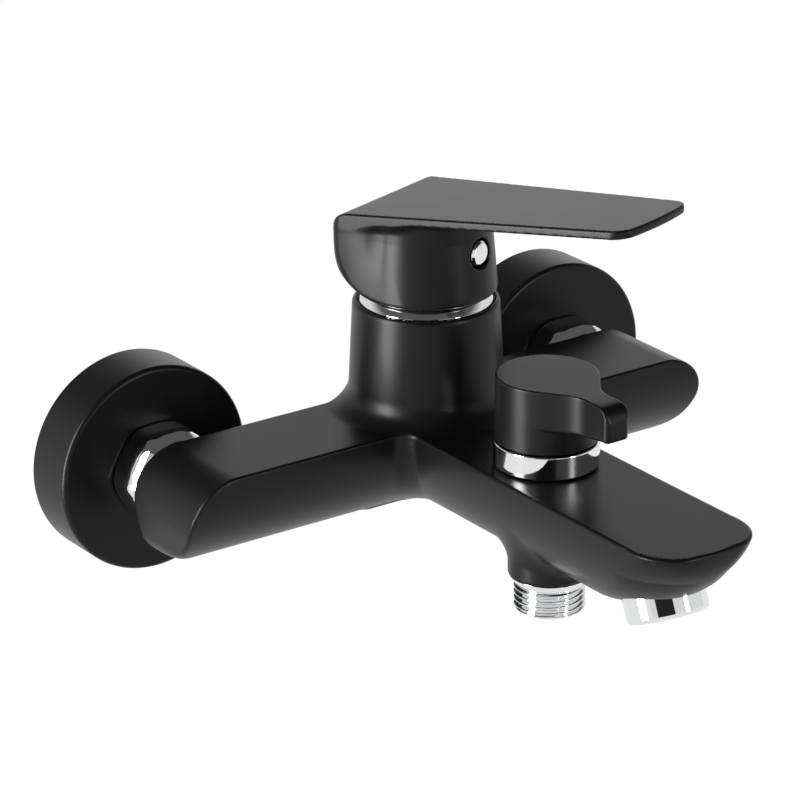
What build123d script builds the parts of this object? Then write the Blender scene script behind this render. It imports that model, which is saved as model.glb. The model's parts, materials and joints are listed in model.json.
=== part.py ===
from build123d import *

import math
import os

# Wall mounted single lever bath and shower mixer.
# Frame: origin midway between the two wall threads on the wall plane, +Z up,
# +X right, +Y into the wall. The faucet stands out of the wall along -Y, so a
# "depth" below is a distance in front of the wall plane. Heights are measured
# from the axis of the body's two inlets, which lies union_offset above the
# wall threads; level() turns such a height into a Z of the frame.

# ---- wall connection -------------------------------------------------------
inlet_spacing = 150.0
union_offset = 8.0
half_inch_r = 10.48
three_quarter_r = 13.22
pipe_bore_r = 6.5
wall_thread_length = 16.0
union_web_depth = 6.0
union_web_r = 17.5
rosette_r = 31.8
rosette_depth = 17.5
rosette_wall = 1.2
rosette_edge_r = 1.4
rosette_hole_gap = 0.4
nut_start_depth = 18.0
nut_across_flats = 29.2
nut_corner_r = 15.6
nut_lip = 3.5
nut_thread_gap = 0.1
nut_lip_gap = 0.35
spigot_end_depth = 26.0
strainer_thickness = 2.0
screen_thickness = 0.6
screen_cell = 2.6
screen_wire = 0.8
screen_cells = 4
screen_rim = 0.4
washer_gap = 0.3
collar_thickness = 1.8
collar_gap = 0.6
nipple_r = 10.4
nipple_insert = 11.0
seat_gap = 0.05

# ---- body casting ----------------------------------------------------------
bar_back_depth = 33.9
bar_front_depth = 67.4
bar_top = 14.8
bar_bottom = -17.5
bar_waist_height = -1.0
bar_half_length = inlet_spacing / 2 + 18.2
bar_end_r = 14.8
bar_low_half_length = bar_half_length - 2.8
bar_low_corner_r = 7.5
bar_waist_r = 10.0
bar_crown_height = 1.8
bar_belly_start_depth = 38.0
bar_back_corner_r = 3.6
spout_half_width = 19.4
spout_belly = 28.3
spout_tip_depth = 187.3
spout_tip_crown = 3.0
spout_tip_corner_r = 9.8
spout_tip_rounding = 22.0
spout_corner_share = 0.92
spout_tip_rake = 57.0
spout_levels = (0.0, 12.0, 25.0, 38.0, 51.0, 63.0, 73.0, 81.0)
barrel_depth = 50.2
barrel_top = 48.0
barrel_top_r = 21.65
barrel_foot_r = barrel_top_r + 1.25
barrel_foot_height = 22.3
barrel_edge_r = 1.3
barrel_bottom = -14.0
barrel_lap = 1.0
outlet_depth = 111.5
outlet_neck_r = 12.2
outlet_neck_bottom = -18.5
feed_r = 5.5
feed_depth = 46.0
feed_height = -3.0
port_reach = 8.5
port_back = 3.0
mixed_port_front = 9.8
port_r = 3.2
spout_way_r = 6.0
spout_way_height = 0.0
spout_way_start_depth = 57.2
spout_way_stop = 2.0

# ---- mixing cartridge ------------------------------------------------------
cartridge_r = barrel_top_r - 4.15
cartridge_seat = barrel_top - 36.0
cartridge_fit = 0.1
base_thickness = 4.0
seal_r = 5.0
seal_height = 1.2
disc_thickness = 3.2
disc_r = cartridge_r - 3.9
moving_disc_r = cartridge_r - 7.9
disc_port_r = port_r - 0.4
disc_gap = 0.02
mixing_slot_length = 11.0
mixing_slot_width = 5.0
mixing_slot_back = 3.5
housing_wall = 2.2
housing_top = barrel_top - 12.5
housing_roof = 2.5
housing_mouth_r = 9.2
carrier_top = barrel_top - 5.0
carrier_slot = 19.0
running_gap = 0.3
bearing_gap = 0.05
pivot_height = barrel_top - 12.0
hinge_pin_r = 1.5
hinge_pin_inset = 0.8
stem_side = 7.0
stem_foot_side = 5.0
stem_foot_height = 6.0
cartridge_nut_top = barrel_top - 4.5
cartridge_nut_bore = cartridge_r - 4.9
dome_ring_r = barrel_top_r - 1.85
dome_ring_height = 2.1
dome_wall = 1.5
dome_mouth_r = 11.5
dome_skirt = 3.0

# ---- lever handle ----------------------------------------------------------
lever_rest_yaw = 17.5
handle_bottom = barrel_top + 2.9
handle_bottom_r = barrel_top_r - 0.45
handle_wall = 2.6
handle_relief_angle = 20.0
handle_relief_start = 2.0
neck_height = handle_bottom + 13.1
neck_r = handle_bottom_r - 0.9
handle_shoulder_height = handle_bottom + 19.1
handle_shoulder_low = handle_bottom + 5.0
handle_shoulder_low_r = 9.0
handle_shoulder_front = 7.0
handle_shoulder_growth = 1.0
handle_shoulder_swell = 0.3
handle_shoulder_pinch = 0.2
handle_back = 19.7
handle_back_corner_r = 4.5
handle_back_roll = 8.0
handle_half_width = 21.0
plate_height = handle_bottom + 27.8
plate_slope = 7.75
plate_taper = 0.0535
plate_thickness = 2.6
plate_reach = 82.5
plate_back = handle_back - handle_back_roll
plate_tip_crown = 1.6
plate_tip_corner_r = 4.6
plate_back_corner_r = 4.0
screw_height = handle_bottom + 14.6
stem_top = screw_height + 4.0
plug_hole_r = 4.65
plug_hole_depth = 4.0
plug_r = 3.9
plug_crown = 1.1
plug_rim_sink = 0.9
plug_foot_inset = 0.4
grub_r = 2.5
grub_length = 7.0
grub_socket_r = 1.25
beyond = 60.0

# ---- diverter --------------------------------------------------------------
diverter_depth = 109.4
diverter_bore_r = 11.0
diverter_floor = bar_top - 21.8
diverter_fit = 0.1
diverter_shell = 1.6
diverter_body_top = bar_top - 6.8
diverter_floor_thickness = 2.0
diverter_port_r = 3.0
diverter_port_offset = 4.2
diverter_window_width = 10.0
diverter_window_high = 5.0
diverter_window_height = bar_top - 12.2
diverter_window_corner_r = 1.0
diverter_disc_r = diverter_bore_r - 2.0
diverter_disc_thickness = 2.2
diverter_gland_top = bar_top + 5.2
spindle_r = 4.1
spindle_flange = 2.0
spindle_top = bar_top + 19.2
spindle_key = 3.0
spline_low = bar_top + 10.2
spline_count = 12
spline_groove_r = 0.45
diverter_ring_r = 15.4
diverter_ring_foot = bar_top + 0.3
diverter_ring_top = bar_top + 7.7
ring_edge_r = 0.5
knob_r = diverter_ring_r - 0.45
knob_bottom = bar_top + 8.0
knob_top = bar_top + 27.8
knob_recess_r = 11.3
knob_socket_low = bar_top + 10.2
fin_half_width = 3.9
fin_reach = 33.0
fin_bottom = bar_top + 16.2
fin_root_r = 7.0
fin_nose_drop = 4.0
fin_nose_run = 7.0
fin_nose_middle = (0.4, 0.24)
knob_screw_r = 1.6
knob_screw_height = bar_top + 14.7
knob_screw_length = 7.0
knob_screw_socket_r = 0.8

# ---- shower outlet ---------------------------------------------------------
nipple_bottom = outlet_neck_bottom - 11.2
shower_thread_top = outlet_neck_bottom - 2.5
shower_insert_r = 9.0
shower_insert_top = outlet_neck_bottom + 8.0
seal_groove_low = outlet_neck_bottom + 2.5
seal_groove_width = 2.2
seal_groove_depth = 1.6
nipple_mouth_r = 5.7
valve_bore_r = 7.0
valve_fit = 0.05
valve_bottom = outlet_neck_bottom - 9.0
valve_top = outlet_neck_bottom + 6.5
valve_wall = 1.4
valve_seat = 1.2
valve_seat_lap = 0.8
spider_width = 1.6
spider_height = 1.6
spider_hub_r = 2.6
poppet_r = 4.4
poppet_head = 1.6
poppet_stem_r = 1.2
spring_r = 2.6
spring_wire_r = 0.35
spring_turns = 5

# ---- aerator ---------------------------------------------------------------
aerator_tilt = 23.0
aerator_socket_lead = 4.0
aerator_face_depth = spout_tip_depth - 20.9
aerator_face_height = -12.1
aerator_ring_r = 11.9
aerator_skirt = 10.5
aerator_thread_r = 10.9
aerator_thread_length = 5.5
aerator_wall = 1.5
aerator_insert_gap = 0.1
aerator_insert_wall = 1.2
aerator_lip = 1.6
aerator_lip_height = 1.0
aerator_grid_inset = 1.4
aerator_grid_thickness = 1.2
aerator_washer_thickness = 1.6
aerator_washer_width = 2.2
aerator_cell = 1.9
aerator_rib = 0.5
aerator_cells = 9
aerator_jets = 8
aerator_jet_r = 1.0
aerator_jet_ring = 0.55


def level(height):
    """Z of a height above the body's inlet axis."""
    return union_offset + height


def sides():
    """The two inlets: node name suffix and X of the inlet axis."""
    return (("left", -inlet_spacing / 2), ("right", inlet_spacing / 2))


yaw = math.radians(lever_rest_yaw)
lever_out = Vector(math.sin(yaw), -math.cos(yaw), 0)
lever_side = Vector(math.cos(yaw), math.sin(yaw), 0)


def lever_plan(height):
    """Horizontal plane on the barrel axis, turned with the lever: x across, y to the back."""
    return Plane((0, -barrel_depth, level(height)), x_dir=lever_side, z_dir=(0, 0, 1))


def lever_profile():
    """Upright plane through the lever: x out along the lever, y up from the inlet axis."""
    return Plane((0, -barrel_depth, level(0)), x_dir=lever_out, z_dir=-lever_side)


def across_lever(reach, height):
    """Plane square to the lever, out at reach: its normal points out along the lever."""
    centre = Vector(0, -barrel_depth, level(height)) + lever_out * reach
    return Plane(centre, x_dir=lever_side, z_dir=lever_out)


def wall_plane(depth, height=0.0, x=0.0):
    """Plane parallel to the wall, facing the room, at a depth in front of it."""
    return Plane((x, -depth, level(height)), x_dir=(1, 0, 0), z_dir=(0, -1, 0))


def cylinder_up(depth, low, high, radius, x=0.0, mode=Mode.ADD):
    """Upright round bar between two heights."""
    plane = Plane((x, -depth, level(low)), x_dir=(1, 0, 0), z_dir=(0, 0, 1))
    with BuildSketch(plane) as disc:
        Circle(radius)
    extrude(disc.sketch, amount=high - low, mode=mode)


def cylinder_out(x, near, far, radius, height=0.0, mode=Mode.ADD):
    """Round bar square to the wall between two depths."""
    with BuildSketch(wall_plane(near, height, x)) as disc:
        Circle(radius)
    extrude(disc.sketch, amount=far - near, mode=mode)


def save(part, name):
    """Label a finished sub-part and write it as one STEP file."""
    part.label = name
    export_step(part, f"parts/{name}.step")


nut_end_depth = bar_back_depth - seat_gap
collar_near_depth = spigot_end_depth + strainer_thickness + 2 * seat_gap
collar_far_depth = collar_near_depth + collar_thickness
collar_r = three_quarter_r - collar_gap


def s_union(x):
    """Eccentric union: wall thread low, three quarter inch spigot on the body's axis."""
    wall_height = -union_offset
    web_height = wall_height / 2
    with BuildPart() as union:
        cylinder_out(x, -wall_thread_length, 0, half_inch_r, wall_height)
        cylinder_out(x, 0, union_web_depth, union_web_r, web_height)
        cylinder_out(x, union_web_depth, spigot_end_depth, three_quarter_r)
        middle = union_web_depth / 2
        cylinder_out(x, -wall_thread_length, middle, pipe_bore_r, wall_height, Mode.SUBTRACT)
        cylinder_out(x, 0, spigot_end_depth, pipe_bore_r, 0, Mode.SUBTRACT)
    return union.part


def rosette(x):
    """Deep round cover: an open drum with a hole for the spigot in its face."""
    with BuildPart() as cover:
        cylinder_out(x, 0, rosette_depth, rosette_r)
        fillet(cover.faces().sort_by(Axis.Y)[0].edges(), rosette_edge_r)
        cylinder_out(x, 0, rosette_depth - rosette_wall, rosette_r - rosette_wall,
                     0, Mode.SUBTRACT)
        cylinder_out(x, 0, rosette_depth, three_quarter_r + rosette_hole_gap,
                     0, Mode.SUBTRACT)
    return cover.part


def union_nut(x):
    """Hexagon union nut with rounded corners and a lip that draws the inlet collar home."""
    with BuildPart() as nut:
        with BuildSketch(wall_plane(nut_start_depth, 0, x)):
            RegularPolygon(nut_across_flats / 2, 6, major_radius=False)
            Circle(nut_corner_r, mode=Mode.INTERSECT)
        extrude(amount=nut_end_depth - nut_start_depth)
        cylinder_out(x, nut_start_depth, nut_end_depth - nut_lip,
                     three_quarter_r + nut_thread_gap, 0, Mode.SUBTRACT)
        cylinder_out(x, nut_start_depth, nut_end_depth, nipple_r + nut_lip_gap,
                     0, Mode.SUBTRACT)
    return nut.part


def inlet_nipple(x):
    """Collared tube screwed into the body's inlet."""
    end = bar_back_depth + nipple_insert
    with BuildPart() as nipple:
        cylinder_out(x, collar_near_depth, collar_far_depth, collar_r)
        cylinder_out(x, collar_far_depth, end, nipple_r)
        cylinder_out(x, collar_near_depth, end, pipe_bore_r, 0, Mode.SUBTRACT)
    return nipple.part


def strainer_washer(x):
    """Flat washer with a dirt screen between the spigot and the collar."""
    near = spigot_end_depth + seat_gap
    screen = screen_thickness
    hole = screen_cell - screen_wire
    with BuildPart() as washer:
        cylinder_out(x, near, near + strainer_thickness, collar_r - washer_gap)
        cylinder_out(x, near + screen, near + strainer_thickness, pipe_bore_r, 0, Mode.SUBTRACT)
        with BuildSketch(wall_plane(near, 0, x)):
            with GridLocations(screen_cell, screen_cell, screen_cells, screen_cells):
                Rectangle(hole, hole)
            Circle(pipe_bore_r - screen_rim, mode=Mode.INTERSECT)
        extrude(amount=screen, mode=Mode.SUBTRACT)
    return washer.part


def crossbar():
    """Bar outline seen from the room, cut by its side section."""
    bar_depth = bar_front_depth - bar_back_depth
    belly_drop = bar_top - bar_crown_height - bar_bottom
    belly_reach = bar_front_depth - bar_belly_start_depth
    with BuildPart() as bar:
        with BuildSketch(wall_plane(bar_back_depth)):
            with BuildLine():
                Polyline(
                    (-bar_half_length, bar_top),
                    (bar_half_length, bar_top),
                    (bar_half_length, bar_waist_height),
                    (bar_low_half_length, bar_bottom),
                    (-bar_low_half_length, bar_bottom),
                    (-bar_half_length, bar_waist_height),
                    close=True,
                )
            outline = make_face()
            corners = outline.vertices().group_by(Axis.Y)
            fillet(corners[-1], bar_end_r)
            fillet(corners[1], bar_waist_r)
            fillet(corners[0], bar_low_corner_r)
        extrude(amount=bar_depth)
        with BuildSketch(Plane.YZ.offset(-bar_half_length)):
            with BuildLine():
                front = -bar_front_depth
                crown = level(bar_top - bar_crown_height)
                start = -bar_belly_start_depth
                Line((-bar_back_depth, level(bar_top)), (front, level(bar_top)))
                Line((front, level(bar_top)), (front, crown))
                EllipticalCenterArc((start, crown), belly_reach, belly_drop, 180, arc_size=90)
                Line((start, level(bar_bottom)), (-bar_back_depth, level(bar_bottom)))
                Line((-bar_back_depth, level(bar_bottom)), (-bar_back_depth, level(bar_top)))
            section = make_face()
            fillet(section.vertices().sort_by(Axis.Y)[:2].sort_by(Axis.X)[-1], bar_back_corner_r)
        extrude(amount=2 * bar_half_length, mode=Mode.INTERSECT)
    return bar.part


def spout():
    """Spout lofted from level plan outlines: elliptical belly, blunt raked tip."""
    with BuildPart() as tube:
        for degrees in spout_levels:
            angle = math.radians(degrees)
            half = spout_half_width * math.cos(angle)
            height = bar_top - spout_belly * math.sin(angle)
            tip = spout_tip_depth - spout_tip_rake * (1 - math.cos(angle))
            crown = spout_tip_crown * math.cos(angle)
            corner = spout_tip_corner_r + spout_tip_rounding * math.sin(angle)
            corner = min(corner, spout_corner_share * half)
            with BuildSketch(Plane.XY.offset(level(height))):
                with BuildLine():
                    Polyline((-half, -(tip - crown)), (-half, -barrel_depth),
                             (half, -barrel_depth), (half, -(tip - crown)))
                    ThreePointArc((half, -(tip - crown)), (0, -tip), (-half, -(tip - crown)))
                outline = make_face()
                fillet(outline.vertices().sort_by(Axis.Y)[:2], corner)
        loft()
    return tube.part


def aerator_plane(back=0.0):
    """Plane of the aerator's mouth, moved back into the spout along its tilted axis."""
    tilt = math.radians(aerator_tilt)
    inward = Vector(0, math.sin(tilt), math.cos(tilt))
    mouth = Vector(0, -aerator_face_depth, level(aerator_face_height))
    return Plane(mouth + inward * back, x_dir=(1, 0, 0), z_dir=inward)


def body_casting():
    """Brass casting: crossbar, barrel, spout and shower outlet neck, with its waterways."""
    bar = crossbar()
    tube = spout()
    with BuildPart() as body:
        add(bar)
        add(tube)
        # The barrel's back runs down behind the bar.
        with BuildSketch(barrel_sketch_plane(barrel_bottom)):
            Circle(barrel_foot_r)
            with Locations((0, barrel_foot_r)):
                Rectangle(2 * barrel_foot_r, 2 * barrel_foot_r, mode=Mode.INTERSECT)
        extrude(amount=bar_top - barrel_bottom)
        with BuildSketch(Plane((0, -barrel_depth, level(0)), x_dir=(1, 0, 0), z_dir=(0, -1, 0))):
            with BuildLine():
                foot = barrel_foot_height
                Polyline(
                    (0, bar_top - barrel_lap),
                    (barrel_foot_r, bar_top - barrel_lap),
                    (barrel_foot_r, foot),
                    (barrel_top_r, barrel_top - barrel_edge_r),
                    (barrel_top_r - barrel_edge_r, barrel_top),
                    (0, barrel_top),
                    close=True,
                )
            make_face()
        revolve(axis=Axis((0, -barrel_depth, 0), (0, 0, 1)))
        cylinder_up(outlet_depth, outlet_neck_bottom, 0, outlet_neck_r)

        # Cartridge bore and its three ports.
        cylinder_up(barrel_depth, cartridge_seat, barrel_top, cartridge_r + cartridge_fit,
                    0, Mode.SUBTRACT)
        for x in (-port_reach, port_reach):
            cylinder_up(barrel_depth - port_back, feed_height, cartridge_seat, port_r,
                        x, Mode.SUBTRACT)
        cylinder_up(barrel_depth + mixed_port_front, spout_way_height, cartridge_seat, port_r,
                    0, Mode.SUBTRACT)

        # Inlet sockets and the two feed channels along the bar.
        for _, x in sides():
            cylinder_out(x, bar_back_depth, bar_back_depth + nipple_insert + seat_gap,
                         nipple_r + seat_gap, 0, Mode.SUBTRACT)
            reach = abs(x) - port_reach + port_r
            start = port_reach - port_r if x > 0 else x
            plane = Plane((start, -feed_depth, level(feed_height)),
                          x_dir=(0, 1, 0), z_dir=(1, 0, 0))
            with BuildSketch(plane):
                Circle(feed_r)
            extrude(amount=reach, mode=Mode.SUBTRACT)

        # Spout way, diverter bore, shower outlet and aerator socket.
        cylinder_out(0, spout_way_start_depth, aerator_face_depth - spout_way_stop, spout_way_r,
                     spout_way_height, Mode.SUBTRACT)
        cylinder_up(diverter_depth, diverter_floor, bar_top, diverter_bore_r, 0, Mode.SUBTRACT)
        cylinder_up(outlet_depth, outlet_neck_bottom, shower_insert_top + seat_gap,
                    shower_insert_r + seat_gap, 0, Mode.SUBTRACT)
        cylinder_up(outlet_depth, shower_insert_top, diverter_floor, pipe_bore_r,
                    0, Mode.SUBTRACT)
        with BuildSketch(aerator_plane(-aerator_socket_lead)):
            Circle(aerator_ring_r + seat_gap)
        extrude(amount=aerator_skirt + aerator_socket_lead + seat_gap, mode=Mode.SUBTRACT)
        with BuildSketch(aerator_plane(aerator_skirt)):
            Circle(aerator_thread_r + seat_gap)
        extrude(amount=aerator_thread_length + seat_gap, mode=Mode.SUBTRACT)
    return body.part


# ---- mixing cartridge heights ---------------------------------------------
base_top = cartridge_seat + seat_gap + base_thickness
fixed_top = base_top + disc_thickness
moving_low = fixed_top + disc_gap
moving_top = moving_low + disc_thickness
slot_depth = disc_thickness / 3
carrier_low = moving_top + running_gap
housing_inner_r = cartridge_r - housing_wall
roof_low = housing_top - housing_roof


def port_spots():
    """Centres of the hot, cold and mixed ports, from the barrel axis, x and y to the back."""
    return ((-port_reach, port_back), (port_reach, port_back), (0.0, -mixed_port_front))


def barrel_sketch_plane(height):
    """Level plane centred on the barrel axis, square to the wall."""
    return Plane((0, -barrel_depth, level(height)), x_dir=(1, 0, 0), z_dir=(0, 0, 1))


def cartridge_base():
    """Port plate with recesses for its three seals."""
    with BuildPart() as base:
        with BuildSketch(barrel_sketch_plane(cartridge_seat + seat_gap)):
            Circle(cartridge_r)
        extrude(amount=base_thickness)
        with BuildSketch(barrel_sketch_plane(cartridge_seat + seat_gap)):
            with Locations(*port_spots()):
                Circle(seal_r + seat_gap)
        extrude(amount=seal_height + seat_gap, mode=Mode.SUBTRACT)
        with BuildSketch(barrel_sketch_plane(cartridge_seat + seat_gap)):
            with Locations(*port_spots()):
                Circle(port_r)
        extrude(amount=base_thickness, mode=Mode.SUBTRACT)
    return base.part


def port_seals():
    """Three flat seals, one round each port."""
    with BuildPart() as seals:
        with BuildSketch(barrel_sketch_plane(cartridge_seat + seat_gap)):
            with Locations(*port_spots()):
                Circle(seal_r)
            with Locations(*port_spots()):
                Circle(port_r, mode=Mode.SUBTRACT)
        extrude(amount=seal_height)
    return seals.part


def ceramic_disc_fixed():
    """Lower ceramic disc with three ports."""
    with BuildPart() as disc:
        with BuildSketch(barrel_sketch_plane(base_top)):
            Circle(disc_r)
            with Locations(*port_spots()):
                Circle(disc_port_r, mode=Mode.SUBTRACT)
        extrude(amount=disc_thickness)
    return disc.part


def ceramic_disc_moving():
    """Upper ceramic disc with the mixing hollow below and the slot the stem pushes in."""
    with BuildPart() as disc:
        with BuildSketch(lever_plan(moving_low)):
            Circle(moving_disc_r)
        extrude(amount=disc_thickness)
        with BuildSketch(lever_plan(moving_low)):
            with Locations((0, mixing_slot_back)):
                SlotOverall(mixing_slot_length, mixing_slot_width)
        extrude(amount=disc_thickness / 2, mode=Mode.SUBTRACT)
        with BuildSketch(lever_plan(moving_top)):
            Rectangle(stem_side + 2 * running_gap, stem_side + 4 * running_gap)
        extrude(amount=-slot_depth, mode=Mode.SUBTRACT)
    return disc.part


def cartridge_housing():
    """Cartridge shell: tube with a roof that holds the carrier down."""
    with BuildPart() as housing:
        with BuildSketch(barrel_sketch_plane(base_top + seat_gap)):
            Circle(cartridge_r)
            Circle(housing_inner_r, mode=Mode.SUBTRACT)
        extrude(amount=housing_top - base_top - seat_gap)
        with BuildSketch(barrel_sketch_plane(roof_low)):
            Circle(cartridge_r)
            Circle(housing_mouth_r, mode=Mode.SUBTRACT)
        extrude(amount=housing_roof)
    return housing.part


def cartridge_carrier():
    """Turning carrier: a drum under the roof and a slotted neck that holds the hinge pin."""
    drum_top = roof_low - running_gap
    cheek_r = housing_mouth_r - 2 * bearing_gap
    with BuildPart() as carrier:
        with BuildSketch(lever_plan(carrier_low)):
            Circle(housing_inner_r - 2 * bearing_gap)
        extrude(amount=drum_top - carrier_low)
        with BuildSketch(lever_plan(drum_top)):
            Circle(cheek_r)
        extrude(amount=carrier_top - drum_top)
        # Slot for the stem, long enough for the whole lift.
        with BuildSketch(lever_plan(carrier_low)):
            Rectangle(stem_side + 2 * running_gap, carrier_slot)
        extrude(amount=carrier_top - carrier_low, mode=Mode.SUBTRACT)
        with BuildSketch(lever_pin_plane(-cheek_r)):
            Circle(hinge_pin_r + bearing_gap)
        extrude(amount=2 * cheek_r, mode=Mode.SUBTRACT)
    return carrier.part


def lever_pin_plane(side):
    """Plane square to the hinge pin, at a distance to one side of the stem."""
    centre = Vector(0, -barrel_depth, level(pivot_height)) + lever_side * side
    return Plane(centre, x_dir=lever_out, z_dir=lever_side)


def hinge_pin():
    """Steel pin the stem tilts on, carried in the carrier's neck."""
    half = housing_mouth_r - hinge_pin_inset
    with BuildPart() as pin:
        with BuildSketch(lever_pin_plane(-half)):
            Circle(hinge_pin_r)
        extrude(amount=2 * half)
    return pin.part


def lever_stem():
    """Square stem with a foot that pushes the moving disc."""
    foot_top = pivot_height - stem_foot_height
    foot_low = moving_top - slot_depth + running_gap
    with BuildPart() as stem:
        with BuildSketch(lever_plan(foot_top)):
            Rectangle(stem_side, stem_side)
        extrude(amount=stem_top - foot_top)
        with BuildSketch(lever_plan(foot_low)):
            Rectangle(stem_side, stem_foot_side)
        extrude(amount=foot_top - foot_low)
        with BuildSketch(lever_pin_plane(-stem_side)):
            Circle(hinge_pin_r + bearing_gap)
        extrude(amount=2 * stem_side, mode=Mode.SUBTRACT)
    return stem.part


def cartridge_nut():
    """Ring nut that clamps the cartridge down in the barrel."""
    with BuildPart() as nut:
        with BuildSketch(barrel_sketch_plane(housing_top + seat_gap)):
            Circle(cartridge_r)
            RegularPolygon(cartridge_nut_bore, 6, major_radius=False, mode=Mode.SUBTRACT)
        extrude(amount=cartridge_nut_top - housing_top - seat_gap)
    return nut.part


def dome_radius():
    """Radius of the chrome dome about the hinge pin, inside the handle's mouth."""
    inner = handle_bottom_r - handle_wall
    return math.hypot(inner, handle_bottom - pivot_height) - 2 * running_gap


def dome_ring():
    """Chrome ring on the barrel's rim that turns into a dome round the hinge."""
    radius = dome_radius()
    top = barrel_top + dome_ring_height
    inner_radius = radius - dome_wall
    shoulder = math.sqrt(radius**2 - (top - pivot_height) ** 2)
    mouth_out = math.sqrt(radius**2 - dome_mouth_r**2)
    mouth_in = math.sqrt(inner_radius**2 - dome_mouth_r**2)
    skirt_r = cartridge_r - cartridge_fit
    low = barrel_top + seat_gap
    with BuildPart() as ring:
        with BuildSketch(Plane((0, -barrel_depth, level(0)), x_dir=(1, 0, 0), z_dir=(0, -1, 0))):
            with BuildLine():
                mid = (math.acos(shoulder / radius) + math.acos(dome_mouth_r / radius)) / 2
                Line((dome_ring_r, low), (dome_ring_r, top))
                Line((dome_ring_r, top), (shoulder, top))
                ThreePointArc(
                    (shoulder, top),
                    (radius * math.cos(mid), pivot_height + radius * math.sin(mid)),
                    (dome_mouth_r, pivot_height + mouth_out),
                )
                Line((dome_mouth_r, pivot_height + mouth_out),
                     (dome_mouth_r, pivot_height + mouth_in))
                end_r = skirt_r - dome_wall
                end_z = pivot_height + math.sqrt(inner_radius**2 - end_r**2)
                mid_in = (math.acos(end_r / inner_radius)
                          + math.acos(dome_mouth_r / inner_radius)) / 2
                ThreePointArc(
                    (dome_mouth_r, pivot_height + mouth_in),
                    (inner_radius * math.cos(mid_in),
                     pivot_height + inner_radius * math.sin(mid_in)),
                    (end_r, end_z),
                )
                Polyline(
                    (end_r, end_z),
                    (end_r, barrel_top - dome_skirt),
                    (skirt_r, barrel_top - dome_skirt),
                    (skirt_r, low),
                    (dome_ring_r, low),
                )
            make_face()
        revolve(axis=Axis((0, -barrel_depth, 0), (0, 0, 1)))
    return ring.part


def plate_rise(reach):
    """Height of the plate's top face out along the lever."""
    return plate_height + reach * math.tan(math.radians(plate_slope))


def plate_plane(drop):
    """Plane of the plate's top face, or one parallel to it below; y points to the back."""
    slope = math.radians(plate_slope)
    normal = Vector(0, 0, 1) * math.cos(slope) - lever_out * math.sin(slope)
    centre = Vector(0, -barrel_depth, level(plate_height)) - normal * drop
    return Plane(centre, x_dir=lever_side, z_dir=normal)


plug_seat_reach = neck_r - plug_hole_depth


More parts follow.
